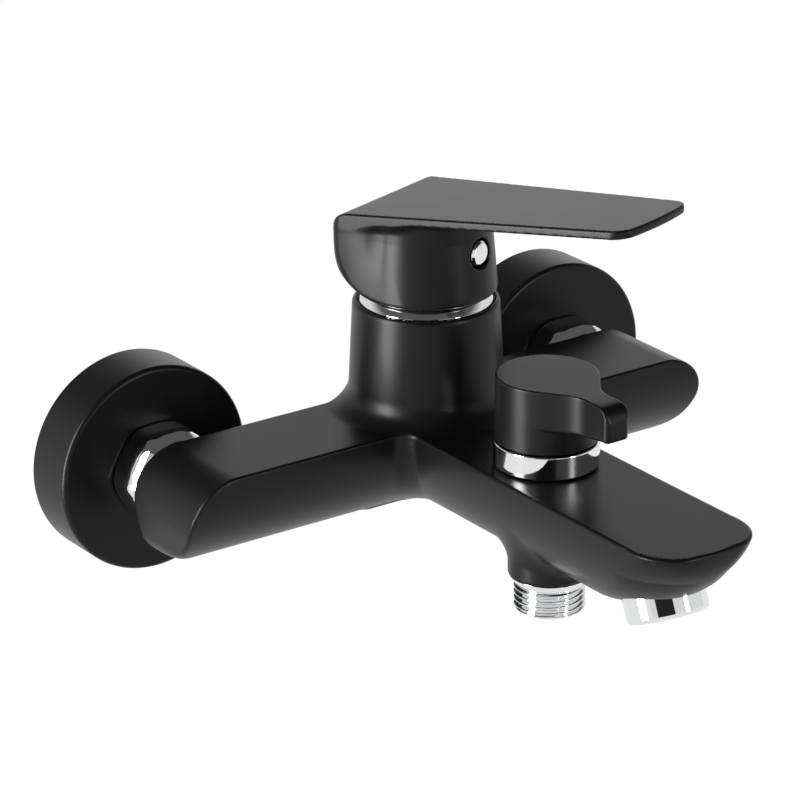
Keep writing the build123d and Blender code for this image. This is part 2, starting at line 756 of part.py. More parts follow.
def handle_lever():
    """Hollow handle: plate, body and neck in one casting, with a socket for the stem."""
    slope = math.radians(plate_slope)
    tip = plate_reach / math.cos(slope)
    back = plate_back / math.cos(slope)
    dome_clear = dome_radius() + running_gap
    trim_height = plate_rise(handle_back)
    shoulder_centre = handle_shoulder_front - handle_shoulder_growth
    shoulder_width = 2 * (handle_half_width + handle_shoulder_swell)
    shoulder_length = 2 * (handle_back - shoulder_centre)
    low_width = 2 * (handle_half_width - handle_shoulder_pinch)
    low_length = 2 * (handle_back - handle_shoulder_front)
    with BuildPart() as handle:
        # Neck: round, drawn in slightly towards the plate.
        with BuildSketch(lever_plan(handle_bottom)):
            Circle(handle_bottom_r)
        with BuildSketch(lever_plan(neck_height)):
            Circle(neck_r)
        loft()
        with BuildSketch(lever_plan(neck_height)):
            Circle(neck_r)
        extrude(amount=trim_height - neck_height)
        # Shoulder: squarer, behind the neck, growing out of it up to the plate.
        with BuildSketch(lever_plan(handle_shoulder_low)):
            with Locations((0, handle_shoulder_front)):
                RectangleRounded(low_width, low_length, handle_shoulder_low_r)
        with BuildSketch(lever_plan(handle_shoulder_height)):
            with Locations((0, shoulder_centre)):
                RectangleRounded(shoulder_width, shoulder_length, handle_back_corner_r)
        loft()
        with BuildSketch(lever_plan(handle_shoulder_height)):
            with Locations((0, shoulder_centre)):
                RectangleRounded(shoulder_width, shoulder_length, handle_back_corner_r)
        extrude(amount=trim_height - handle_shoulder_height)
        # Trim with the plate's top face and roll the top over to the back face.
        with BuildSketch(plate_plane(0)):
            Rectangle(2 * beyond, 2 * beyond)
        extrude(amount=beyond, mode=Mode.SUBTRACT)
        with BuildSketch(lever_profile()):
            roll_height = plate_rise(-plate_back) - handle_back_roll
            with Locations((-plate_back - beyond / 2, roll_height + beyond / 2)):
                Rectangle(beyond, beyond)
            with Locations((-plate_back, roll_height)):
                Circle(handle_back_roll, mode=Mode.SUBTRACT)
        extrude(amount=beyond, both=True, mode=Mode.SUBTRACT)
        # Plate.
        with BuildSketch(plate_plane(plate_thickness)):
            with BuildLine():
                near = handle_half_width + plate_taper * plate_back
                far = handle_half_width - plate_taper * plate_reach
                shoulder = -(tip - plate_tip_crown)
                Polyline((-far, shoulder), (-near, back), (near, back), (far, shoulder))
                ThreePointArc((far, shoulder), (0, -tip), (-far, shoulder))
            plan = make_face()
            corners = plan.vertices().group_by(Axis.Y)
            fillet(corners[0], plate_tip_corner_r)
            back_corners = plan.vertices().group_by(Axis.Y)[-1]
            fillet(back_corners, plate_back_corner_r)
        extrude(amount=plate_thickness)
        # Hollow over the dome, socket for the stem, relief under the back.
        with BuildSketch(lever_profile()):
            with BuildLine():
                Line((0, pivot_height - dome_clear), (0, pivot_height + dome_clear))
                CenterArc((0, pivot_height), dome_clear, 90, -180)
            make_face()
        revolve(axis=Axis((0, -barrel_depth, 0), (0, 0, 1)), mode=Mode.SUBTRACT)
        with BuildSketch(lever_plan(pivot_height)):
            Rectangle(stem_side + 2 * seat_gap, stem_side + 2 * seat_gap)
        extrude(amount=stem_top + seat_gap - pivot_height, mode=Mode.SUBTRACT)
        with BuildSketch(lever_profile()):
            relief = math.tan(math.radians(handle_relief_angle))
            Polygon(
                (handle_relief_start, handle_bottom),
                (-beyond, handle_bottom + (beyond + handle_relief_start) * relief),
                (-beyond, handle_bottom - beyond),
                (handle_relief_start, handle_bottom - beyond),
                align=None,
            )
        extrude(amount=beyond, both=True, mode=Mode.SUBTRACT)
        # Grub screw hole and plug recess in the front of the neck.
        with BuildSketch(across_lever(stem_side / 2, screw_height)):
            Circle(grub_r + seat_gap)
        extrude(amount=handle_bottom_r, mode=Mode.SUBTRACT)
        with BuildSketch(across_lever(plug_seat_reach, screw_height)):
            Circle(plug_hole_r)
        extrude(amount=2 * plug_hole_depth, mode=Mode.SUBTRACT)
    return handle.part


def handle_grub_screw():
    """Set screw in the neck that bears on the stem, with a hexagon socket."""
    near = stem_side / 2 + seat_gap
    with BuildPart() as screw:
        with BuildSketch(across_lever(near, screw_height)):
            Circle(grub_r)
        extrude(amount=grub_length)
        with BuildSketch(across_lever(near + grub_length, screw_height)):
            RegularPolygon(grub_socket_r, 6, major_radius=False)
        extrude(amount=-grub_length / 2, mode=Mode.SUBTRACT)
    return screw.part


def handle_plug():
    """Domed push-in plug that hides the set screw."""
    seat = plug_seat_reach + seat_gap
    rim = neck_r - plug_rim_sink
    dome = (plug_r**2 + plug_crown**2) / (2 * plug_crown)
    middle = math.asin(plug_r / dome) / 2
    half_way = (rim + plug_crown - dome * (1 - math.cos(middle)),
                screw_height + dome * math.sin(middle))
    with BuildPart() as plug:
        with BuildSketch(lever_profile()):
            with BuildLine():
                Polyline((rim + plug_crown, screw_height), (seat, screw_height),
                         (seat, screw_height + plug_r - plug_foot_inset),
                         (rim, screw_height + plug_r))
                ThreePointArc((rim, screw_height + plug_r), half_way,
                              (rim + plug_crown, screw_height))
            make_face()
        revolve(axis=Axis(Vector(0, -barrel_depth, level(screw_height)), lever_out))
    return plug.part


# ---- diverter --------------------------------------------------------------
gland_low = diverter_body_top + seat_gap
gland_r = diverter_bore_r - diverter_fit
shell_inner_r = diverter_bore_r - diverter_fit - diverter_shell
floor_top = diverter_floor + seat_gap + diverter_floor_thickness
still_disc_top = floor_top + seat_gap + diverter_disc_thickness
turning_disc_low = still_disc_top + disc_gap
turning_disc_top = turning_disc_low + diverter_disc_thickness


def diverter_plane(height):
    """Level plane on the diverter axis."""
    return Plane((0, -diverter_depth, level(height)), x_dir=(1, 0, 0), z_dir=(0, 0, 1))


def diverter_cartridge():
    """Cartridge shell with a port down to the shower and windows to the spout way."""
    with BuildPart() as shell:
        with BuildSketch(diverter_plane(diverter_floor + seat_gap)):
            Circle(diverter_bore_r - diverter_fit)
        extrude(amount=diverter_body_top - diverter_floor - seat_gap)
        with BuildSketch(diverter_plane(floor_top)):
            Circle(shell_inner_r)
        extrude(amount=diverter_body_top - floor_top, mode=Mode.SUBTRACT)
        with BuildSketch(diverter_plane(diverter_floor)):
            Circle(diverter_port_r)
        extrude(amount=diverter_floor_thickness + 2 * seat_gap, mode=Mode.SUBTRACT)
        with BuildSketch(wall_plane(diverter_depth - diverter_bore_r, diverter_window_height)):
            RectangleRounded(diverter_window_width, diverter_window_high,
                             diverter_window_corner_r)
        extrude(amount=2 * diverter_bore_r, mode=Mode.SUBTRACT)
    return shell.part


def diverter_disc_fixed():
    """Still ceramic disc with one opening."""
    with BuildPart() as disc:
        with BuildSketch(diverter_plane(floor_top + seat_gap)):
            Circle(diverter_disc_r)
            with Locations((0, -diverter_port_offset)):
                Circle(diverter_port_r, mode=Mode.SUBTRACT)
        extrude(amount=diverter_disc_thickness)
    return disc.part


def diverter_disc_turning():
    """Turning ceramic disc with a quarter opening and a drive slot."""
    with BuildPart() as disc:
        with BuildSketch(diverter_plane(turning_disc_low)):
            Circle(diverter_disc_r)
            with Locations((0, diverter_port_offset)):
                Circle(diverter_port_r, mode=Mode.SUBTRACT)
        extrude(amount=diverter_disc_thickness)
        with BuildSketch(diverter_plane(turning_disc_top)):
            Rectangle(2 * spindle_r, spindle_key)
        extrude(amount=-diverter_disc_thickness / 2, mode=Mode.SUBTRACT)
    return disc.part


def diverter_spindle():
    """Brass spindle: key into the turning disc, flange under the gland, splined end."""
    key_low = turning_disc_top - diverter_disc_thickness / 2 + seat_gap
    foot = turning_disc_top + seat_gap
    flange_top = gland_low - running_gap
    with BuildPart() as spindle:
        with BuildSketch(diverter_plane(key_low)):
            Rectangle(2 * (spindle_r - seat_gap), spindle_key - 2 * seat_gap)
        extrude(amount=foot - key_low)
        with BuildSketch(diverter_plane(foot)):
            Circle(spindle_r)
        extrude(amount=spline_low - foot)
        with BuildSketch(diverter_plane(flange_top - spindle_flange)):
            Circle(shell_inner_r - running_gap)
        extrude(amount=spindle_flange)
        with BuildSketch(diverter_plane(spline_low)):
            Circle(spindle_r)
            with PolarLocations(spindle_r, spline_count):
                Circle(spline_groove_r, mode=Mode.SUBTRACT)
        extrude(amount=spindle_top - spline_low)
    return spindle.part


def diverter_gland():
    """Gland screwed into the bore: guides the spindle and carries the chrome ring."""
    with BuildPart() as gland:
        with BuildSketch(diverter_plane(gland_low)):
            Circle(gland_r)
            Circle(spindle_r + bearing_gap, mode=Mode.SUBTRACT)
        extrude(amount=diverter_gland_top - gland_low)
    return gland.part


def diverter_ring():
    """Chrome ring between the spout's top face and the knob."""
    with BuildPart() as ring:
        with BuildSketch(diverter_plane(diverter_ring_foot)):
            Circle(diverter_ring_r)
            Circle(gland_r + seat_gap, mode=Mode.SUBTRACT)
        extrude(amount=diverter_ring_top - diverter_ring_foot)
        fillet(ring.edges().filter_by(GeomType.CIRCLE).group_by(SortBy.RADIUS)[-1], ring_edge_r)
    return ring.part


def diverter_knob():
    """Drum knob with a thumb fin that sweeps out of its side."""
    root = knob_r + fin_root_r
    with BuildPart() as knob:
        with BuildSketch(diverter_plane(knob_bottom)):
            Circle(knob_r)
        extrude(amount=knob_top - knob_bottom)
        with BuildSketch(diverter_plane(fin_bottom)):
            with BuildLine():
                side = fin_half_width + fin_root_r
                reach = math.sqrt(root**2 - side**2)
                start = (side * knob_r / root, reach * knob_r / root)
                corner = fin_half_width
                for sign in (-1, 1):
                    RadiusArc((sign * start[0], -start[1]), (sign * corner, -reach),
                              sign * fin_root_r)
                    Line((sign * corner, -reach), (sign * corner, -fin_reach))
                    Line((sign * start[0], -start[1]), (0, 0))
                Line((-corner, -fin_reach), (corner, -fin_reach))
            make_face()
        extrude(amount=knob_top - fin_bottom)
        # The fin's top falls away at its nose.
        with BuildSketch(Plane.YZ.offset(-knob_r)):
            nose = -(diverter_depth + fin_reach)
            with BuildLine():
                top = level(knob_top)
                ThreePointArc(
                    (nose + fin_nose_run, top),
                    (nose + fin_nose_run * fin_nose_middle[0], top - fin_nose_drop * fin_nose_middle[1]),
                    (nose, top - fin_nose_drop),
                )
                Polyline((nose, top - fin_nose_drop), (nose - fin_nose_run, top - fin_nose_drop),
                         (nose - fin_nose_run, top + fin_nose_drop),
                         (nose + fin_nose_run, top + fin_nose_drop),
                         (nose + fin_nose_run, top))
            make_face()
        extrude(amount=2 * knob_r, mode=Mode.SUBTRACT)
        # Recess below, socket for the spindle and a hole for the set screw.
        with BuildSketch(diverter_plane(knob_bottom)):
            Circle(knob_recess_r)
        extrude(amount=knob_socket_low - knob_bottom, mode=Mode.SUBTRACT)
        with BuildSketch(diverter_plane(knob_socket_low)):
            Circle(spindle_r + seat_gap)
        extrude(amount=spindle_top + seat_gap - knob_socket_low, mode=Mode.SUBTRACT)
        with BuildSketch(knob_screw_plane(0)):
            Circle(knob_screw_r + seat_gap)
        extrude(amount=-knob_r, mode=Mode.SUBTRACT)
    return knob.part


def knob_screw_plane(reach):
    """Upright plane behind the knob's axis, facing the room, at a reach from the axis."""
    return wall_plane(diverter_depth - reach, knob_screw_height)


def knob_screw():
    """Set screw in the back of the knob that bears on the spindle."""
    near = spindle_r + seat_gap
    with BuildPart() as screw:
        with BuildSketch(knob_screw_plane(near)):
            Circle(knob_screw_r)
        extrude(amount=-knob_screw_length)
        with BuildSketch(knob_screw_plane(near + knob_screw_length)):
            RegularPolygon(knob_screw_socket_r, 6, major_radius=False)
        extrude(amount=knob_screw_length / 2, mode=Mode.SUBTRACT)
    return screw.part


# ---- shower outlet ---------------------------------------------------------
def outlet_plane(height):
    """Level plane on the shower outlet's axis."""
    return Plane((0, -outlet_depth, level(height)), x_dir=(1, 0, 0), z_dir=(0, 0, 1))


def shower_nipple():
    """Half inch outlet nipple: insert in the neck, tapered collar, hose thread."""
    collar_low = shower_thread_top
    collar_top = outlet_neck_bottom - seat_gap
    with BuildPart() as nipple:
        with BuildSketch(outlet_plane(nipple_bottom)):
            Circle(half_inch_r)
        extrude(amount=collar_low - nipple_bottom)
        with BuildSketch(outlet_plane(collar_low)):
            Circle(half_inch_r)
        with BuildSketch(outlet_plane(collar_top)):
            Circle(outlet_neck_r)
        loft()
        with BuildSketch(outlet_plane(collar_top)):
            Circle(shower_insert_r)
        extrude(amount=shower_insert_top - collar_top)
        with BuildSketch(outlet_plane(valve_bottom)):
            Circle(valve_bore_r)
        extrude(amount=shower_insert_top - valve_bottom, mode=Mode.SUBTRACT)
        with BuildSketch(outlet_plane(nipple_bottom)):
            Circle(nipple_mouth_r)
        extrude(amount=valve_bottom - nipple_bottom, mode=Mode.SUBTRACT)
        # Groove for the seal ring on the insert.
        with BuildSketch(outlet_plane(seal_groove_low)):
            Circle(shower_insert_r + seal_groove_depth)
            Circle(shower_insert_r - seal_groove_depth, mode=Mode.SUBTRACT)
        extrude(amount=seal_groove_width, mode=Mode.SUBTRACT)
    return nipple.part


def nipple_seal():
    """Seal ring in the insert's groove."""
    wire = seal_groove_depth / 2 - seat_gap
    middle = seal_groove_low + seal_groove_width / 2
    with BuildPart() as ring:
        centre = (0, -outlet_depth, level(middle))
        with BuildSketch(Plane(centre, x_dir=(1, 0, 0), z_dir=(0, -1, 0))):
            with Locations((shower_insert_r - seal_groove_depth / 2, 0)):
                Circle(wire)
        revolve(axis=Axis(centre, (0, 0, 1)))
    return ring.part


def check_valve_housing():
    """Cage of the non-return valve: tube, seat above and spider below."""
    outer = valve_bore_r - valve_fit
    inner = outer - valve_wall
    low = valve_bottom + seat_gap
    with BuildPart() as cage:
        with BuildSketch(outlet_plane(low)):
            Circle(outer)
            Circle(inner, mode=Mode.SUBTRACT)
        extrude(amount=valve_top - low)
        with BuildSketch(outlet_plane(valve_top - valve_seat)):
            Circle(outer)
            Circle(poppet_r - valve_seat_lap, mode=Mode.SUBTRACT)
        extrude(amount=valve_seat)
        with BuildSketch(outlet_plane(low)):
            Rectangle(2 * outer - valve_wall, spider_width)
            Rectangle(spider_width, 2 * outer - valve_wall)
            Circle(spider_hub_r)
            Circle(poppet_stem_r + running_gap, mode=Mode.SUBTRACT)
        extrude(amount=spider_height)
    return cage.part


def check_valve_poppet():
    """Poppet on a stem through the spider; water pushes it down, a spring lifts it."""
    head_low = valve_top - valve_seat - disc_gap - poppet_head
    stem_low = valve_bottom + seat_gap
    with BuildPart() as poppet:
        with BuildSketch(outlet_plane(head_low)):
            Circle(poppet_r)
        extrude(amount=poppet_head)
        with BuildSketch(outlet_plane(stem_low)):
            Circle(poppet_stem_r)
        extrude(amount=head_low - stem_low)
    return poppet.part


def check_valve_spring():
    """Light coil spring between the spider and the poppet."""
    low = valve_bottom + seat_gap + spider_height + spring_wire_r + seat_gap
    high = valve_top - valve_seat - disc_gap - poppet_head - spring_wire_r - seat_gap
    with BuildPart() as spring:
        with BuildLine() as path:
            Helix(pitch=(high - low) / spring_turns, height=high - low, radius=spring_r,
                  center=(0, -outlet_depth, level(low)))
        wire = path.line
        with BuildSketch(Plane(wire @ 0, z_dir=wire % 0)):
            Circle(spring_wire_r)
        sweep()
    return spring.part


# ---- aerator ---------------------------------------------------------------
def aerator_ring():
    """Chrome aerator shell: plain skirt below, male thread above, open through."""
    with BuildPart() as ring:
        with BuildSketch(aerator_plane()):
            Circle(aerator_ring_r)
        extrude(amount=aerator_skirt)
        with BuildSketch(aerator_plane(aerator_skirt)):
            Circle(aerator_thread_r)
        extrude(amount=aerator_thread_length)
        with BuildSketch(aerator_plane()):
            Circle(aerator_thread_r - aerator_wall)
        extrude(amount=aerator_skirt + aerator_thread_length, mode=Mode.SUBTRACT)
        with BuildSketch(aerator_plane()):
            Circle(aerator_ring_r - aerator_lip)
        extrude(amount=aerator_lip_height, mode=Mode.SUBTRACT)
    return ring.part


def aerator_insert():
    """Plastic jet insert with a grid at the mouth."""
    outer = aerator_thread_r - aerator_wall - aerator_insert_gap
    back = aerator_skirt + aerator_thread_length - aerator_washer_thickness - 2 * seat_gap
    with BuildPart() as insert:
        with BuildSketch(aerator_plane(aerator_grid_inset)):
            Circle(outer)
        extrude(amount=back - aerator_grid_inset)
        with BuildSketch(aerator_plane(aerator_grid_inset + aerator_grid_thickness)):
            Circle(outer - aerator_insert_wall)
        extrude(amount=back - aerator_grid_inset - 2 * aerator_grid_thickness, mode=Mode.SUBTRACT)
        with BuildSketch(aerator_plane(aerator_grid_inset)):
            with GridLocations(aerator_cell, aerator_cell, aerator_cells, aerator_cells):
                Rectangle(aerator_cell - aerator_rib, aerator_cell - aerator_rib)
            Circle(outer - aerator_insert_wall, mode=Mode.INTERSECT)
        extrude(amount=aerator_grid_thickness, mode=Mode.SUBTRACT)
        with BuildSketch(aerator_plane(back - aerator_grid_thickness)):
            with PolarLocations(outer * aerator_jet_ring, aerator_jets):
                Circle(aerator_jet_r)
        extrude(amount=aerator_grid_thickness, mode=Mode.SUBTRACT)
    return insert.part


def aerator_washer():
    """Flat washer that seals the aerator in the spout."""
    back = aerator_skirt + aerator_thread_length - aerator_washer_thickness - seat_gap
    outer = aerator_thread_r - aerator_wall - aerator_insert_gap
    with BuildPart() as washer:
        with BuildSketch(aerator_plane(back)):
            Circle(outer)
            Circle(outer - aerator_washer_width, mode=Mode.SUBTRACT)
        extrude(amount=aerator_washer_thickness)
    return washer.part


os.makedirs("parts", exist_ok=True)
for side, inlet_x in sides():
    save(s_union(inlet_x), f"s_union_{side}")
    save(rosette(inlet_x), f"rosette_{side}")
    save(union_nut(inlet_x), f"union_nut_{side}")
    save(inlet_nipple(inlet_x), f"inlet_nipple_{side}")
    save(strainer_washer(inlet_x), f"strainer_washer_{side}")
save(body_casting(), "body_casting")
save(cartridge_base(), "cartridge_base")
save(port_seals(), "port_seals")
save(ceramic_disc_fixed(), "ceramic_disc_fixed")
save(ceramic_disc_moving(), "ceramic_disc_moving")
save(cartridge_housing(), "cartridge_housing")
save(cartridge_carrier(), "cartridge_carrier")
save(hinge_pin(), "hinge_pin")
save(lever_stem(), "lever_stem")
save(cartridge_nut(), "cartridge_nut")
save(dome_ring(), "dome_ring")
save(handle_lever(), "handle_lever")
save(handle_grub_screw(), "handle_grub_screw")
save(handle_plug(), "handle_plug")
save(diverter_cartridge(), "diverter_cartridge")
save(diverter_disc_fixed(), "diverter_disc_fixed")
save(diverter_disc_turning(), "diverter_disc_turning")
save(diverter_spindle(), "diverter_spindle")
save(diverter_gland(), "diverter_gland")
save(diverter_ring(), "diverter_ring")
save(diverter_knob(), "diverter_knob")
save(knob_screw(), "knob_screw")
save(shower_nipple(), "shower_nipple")
save(nipple_seal(), "nipple_seal")
save(check_valve_housing(), "check_valve_housing")
save(check_valve_poppet(), "check_valve_poppet")
save(check_valve_spring(), "check_valve_spring")
save(aerator_ring(), "aerator_ring")
save(aerator_insert(), "aerator_insert")
save(aerator_washer(), "aerator_washer")
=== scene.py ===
"""Visual model of a wall mounted bath faucet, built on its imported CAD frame.

Lengths inside the shape classes are millimetres in the row frame (+Z up, +Y into
the wall); Part.create turns them into metres. Heights called h are measured from
the axis of the two inlets, and depths called d from the wall plane towards the room.
"""

from __future__ import annotations

import json
import logging
import math
from abc import ABC, abstractmethod
from dataclasses import dataclass
from enum import Enum

import bpy
import numpy as np
from mathutils import Matrix, Vector

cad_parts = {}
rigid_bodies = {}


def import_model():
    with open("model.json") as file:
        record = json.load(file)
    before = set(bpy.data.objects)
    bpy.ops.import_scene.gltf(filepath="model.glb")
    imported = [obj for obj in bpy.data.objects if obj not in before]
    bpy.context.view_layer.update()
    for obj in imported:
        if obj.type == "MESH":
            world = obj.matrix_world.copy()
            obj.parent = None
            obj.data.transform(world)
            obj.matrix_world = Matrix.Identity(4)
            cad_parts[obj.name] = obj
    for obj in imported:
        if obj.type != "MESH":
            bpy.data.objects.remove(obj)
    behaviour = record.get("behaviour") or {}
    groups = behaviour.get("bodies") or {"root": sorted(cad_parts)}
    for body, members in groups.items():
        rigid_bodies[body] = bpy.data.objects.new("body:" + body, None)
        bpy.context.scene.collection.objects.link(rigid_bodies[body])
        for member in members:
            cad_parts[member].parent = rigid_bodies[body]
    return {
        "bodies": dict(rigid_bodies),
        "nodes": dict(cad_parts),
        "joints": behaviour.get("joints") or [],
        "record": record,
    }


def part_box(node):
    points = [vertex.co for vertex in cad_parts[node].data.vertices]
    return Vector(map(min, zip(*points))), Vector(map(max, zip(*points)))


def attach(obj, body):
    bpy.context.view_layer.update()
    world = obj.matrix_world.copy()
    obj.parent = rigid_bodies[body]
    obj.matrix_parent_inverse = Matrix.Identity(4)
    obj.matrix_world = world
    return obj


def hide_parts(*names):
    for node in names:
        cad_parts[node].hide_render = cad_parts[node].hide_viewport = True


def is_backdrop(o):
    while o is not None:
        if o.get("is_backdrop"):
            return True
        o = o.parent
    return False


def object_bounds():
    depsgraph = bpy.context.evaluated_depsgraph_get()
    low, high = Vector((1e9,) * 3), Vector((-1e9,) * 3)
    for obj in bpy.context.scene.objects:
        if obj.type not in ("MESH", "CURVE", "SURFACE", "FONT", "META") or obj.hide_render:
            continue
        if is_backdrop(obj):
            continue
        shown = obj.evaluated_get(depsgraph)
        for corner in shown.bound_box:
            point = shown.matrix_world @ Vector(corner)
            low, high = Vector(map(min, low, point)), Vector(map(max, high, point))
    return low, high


LOG = logging.getLogger("faucet")
MM = 0.001
Array = np.ndarray


# ---------------------------------------------------------------------------
# Layout read from the frame
# ---------------------------------------------------------------------------
@dataclass(frozen=True)
class Spot:
    """Box of one CAD node in millimetres."""

    low: Array
    high: Array

    @classmethod
    def of(cls, node: str) -> "Spot":
        """Read a node's box.

        Args:
            node: Name of the CAD node.

        Returns:
            Its box in millimetres.
        """
        low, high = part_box(node)
        return cls(np.array(low) / MM, np.array(high) / MM)

    @property
    def middle(self) -> Array:
        """Centre of the box."""
        return (self.low + self.high) / 2

    @property
    def size(self) -> Array:
        """Side lengths of the box."""
        return self.high - self.low


@dataclass(frozen=True)
class Layout:
    """Places and sizes of the main features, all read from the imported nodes."""

    axis_z: float
    barrel_y: float
    barrel_top: float
    bar_half: float
    bar_back: float
    spout_tip: float
    diverter_y: float
    outlet_y: float

    @classmethod
    def read(cls) -> "Layout":
        """Measure the frame.

        Returns:
            The layout in millimetres.
        """
        body, shell = Spot.of("body_casting"), Spot.of("cartridge_housing")
        return cls(
            axis_z=float(Spot.of("rosette_left").middle[2]),
            barrel_y=float(shell.middle[1]),
            barrel_top=float(body.high[2]),
            bar_half=float(body.high[0]),
            bar_back=float(-Spot.of("union_nut_left").low[1]),
            spout_tip=float(-body.low[1]),
            diverter_y=float(Spot.of("diverter_ring").middle[1]),
            outlet_y=float(Spot.of("shower_nipple").middle[1]),
        )


# ---------------------------------------------------------------------------
# Distance field operations
# ---------------------------------------------------------------------------
def both(a: Array, b: Array, r: float) -> Array:
    """Intersection of two fields whose shared edge is rounded off with radius r."""
    u, v = np.maximum(a + r, 0), np.maximum(b + r, 0)
    return np.minimum(np.maximum(a, b), -r) + np.hypot(u, v)


def either(a: Array, b: Array, r: float) -> Array:
    """Union of two fields whose shared corner is filled with radius r."""
    u, v = np.maximum(r - a, 0), np.maximum(r - b, 0)
    return np.maximum(np.minimum(a, b), r) - np.hypot(u, v)


def without(a: Array, b: Array, r: float) -> Array:
    """Field a with field b cut out of it, the rim rounded off with radius r."""
    return both(a, -b, r)


def rounded_box(x: Array, y: Array, half_x: Array, half_y: Array, r: Array) -> Array:
    """Plan distance to a rectangle with corners of radius r."""
    qx, qy = np.abs(x) - half_x + r, np.abs(y) - half_y + r
    return np.hypot(np.maximum(qx, 0), np.maximum(qy, 0)) + np.minimum(np.maximum(qx, qy), 0) - r


class Shape(ABC):
    """A solid given by a field: negative inside, zero on the surface."""

    @abstractmethod
    def field(self, x: Array, y: Array, z: Array) -> Array:
        """Value of the field at points of the row frame.

        Args:
            x: Places to the right, in millimetres.
            y: Places into the wall.
            z: Heights.

        Returns:
            About the distance to the surface, negative inside.
        """


@dataclass(frozen=True)
class MeshData:
    """Vertices, faces and vertex normals of one finished surface."""

    points: Array
    faces: Array
    normals: Array | None = None


@dataclass(frozen=True)
class Skin:
    """Turns a field into a quad mesh.

    Every grid cell that the surface crosses gets one vertex at the mean of its edge
    crossings, each crossed grid edge gets the quad of its four cells, and Newton
    steps along the gradient then put the vertices on the surface itself.
    """

    shape: Shape
    low: tuple[float, float, float]
    high: tuple[float, float, float]
    step: float
    probe: float = 0.02
    settling: int = 4

    def build(self) -> MeshData:
        """Mesh the field inside the box.

        Returns:
            The surface with exact normals from the field's gradient.
        """
        axes = [np.arange(lo - 1.37 * self.step, hi + 2.5 * self.step, self.step)
                for lo, hi in zip(self.low, self.high)]
        gx, gy, gz = np.meshgrid(*axes, indexing="ij", sparse=True)
        value = np.broadcast_to(self.shape.field(gx, gy, gz), [len(a) for a in axes])
        value = np.asarray(value, np.float32)
        inside = value < 0
        n = [s - 1 for s in value.shape]
        corners = [(i, j, k) for i in (0, 1) for j in (0, 1) for k in (0, 1)]
        count = sum(inside[i:n[0] + i, j:n[1] + j, k:n[2] + k].astype(np.int8)
                    for i, j, k in corners)
        cells = np.argwhere((count > 0) & (count < 8))
        number = np.full(n, -1, np.int64)
        number[tuple(cells.T)] = np.arange(len(cells))
        total, hits = np.zeros((len(cells), 3)), np.zeros(len(cells))
        for axis in range(3):
            for start in (c for c in corners if c[axis] == 0):
                end = tuple(c + (1 if k == axis else 0) for k, c in enumerate(start))
                a, b = (value[tuple((cells + s).T)].astype(float) for s in (start, end))
                crossed = (a < 0) != (b < 0)
                share = np.where(crossed, a / np.where(crossed, a - b, 1), 0)
                place = np.array(start) + share[:, None] * np.eye(3)[axis]
                total += place * crossed[:, None]
                hits += crossed
        origin = np.array([a[0] for a in axes])
        points = origin + (cells + total / hits[:, None]) * self.step
        points, normals = self._settle(points)
        return MeshData(points, self._quads(inside, number), normals)

    def _settle(self, points: Array) -> tuple[Array, Array]:
        """Move points onto the surface with Newton steps along the gradient.

        Args:
            points: Points near the surface, (n, 3).

        Returns:
            The moved points and the outward unit normals there.
        """
        normal = np.zeros_like(points)
        for _ in range(self.settling):
            here = self.shape.field(*points.T)
            slope = np.stack([
                (self.shape.field(*(points + off).T) - self.shape.field(*(points - off).T))
                / (2 * self.probe) for off in np.eye(3) * self.probe
            ], 1)
            length = np.maximum(np.linalg.norm(slope, axis=1), 0.2)
            normal = slope / length[:, None]
            move = np.clip(here / length, -0.5 * self.step, 0.5 * self.step)
            points = points - normal * move[:, None]
        return points, normal / np.maximum(np.linalg.norm(normal, axis=1), 1e-9)[:, None]

    @staticmethod
    def _quads(inside: Array, number: Array) -> Array:
        """Join the four cells round every grid edge that the surface crosses.

        Args:
            inside: Whether each grid point is inside the shape.
            number: Index of each cell's vertex, or -1.

        Returns:
            Quads (m, 4) with their faces outwards.
        """
        found = []
        for axis in range(3):
            j, k = (axis + 1) % 3, (axis + 2) % 3
            before = [slice(None)] * 3
            after = [slice(None)] * 3
            before[axis], after[axis] = slice(None, -1), slice(1, None)
            first, second = inside[tuple(before)], inside[tuple(after)]
            spots = np.argwhere(first != second)
            spots = spots[(spots[:, j] > 0) & (spots[:, k] > 0)]
            spots = spots[(spots[:, j] < inside.shape[j] - 1) & (spots[:, k] < inside.shape[k] - 1)]
            outward = first[tuple(spots.T)]
            ring = []
            for dj, dk in ((-1, -1), (0, -1), (0, 0), (-1, 0)):
                cell = spots.copy()
                cell[:, j] += dj
                cell[:, k] += dk
                ring.append(number[tuple(cell.T)])
            quad = np.stack(ring, 1)
            quad[~outward] = quad[~outward][:, ::-1]
            found.append(quad)
        return np.concatenate(found)


# ---------------------------------------------------------------------------
# Lathe surfaces
# ---------------------------------------------------------------------------
@dataclass(frozen=True)
class Corner:
    """One corner of a turned profile: radius from the axis, place along it, fillet."""

    r: float
    z: float
    fillet: float = 0.05


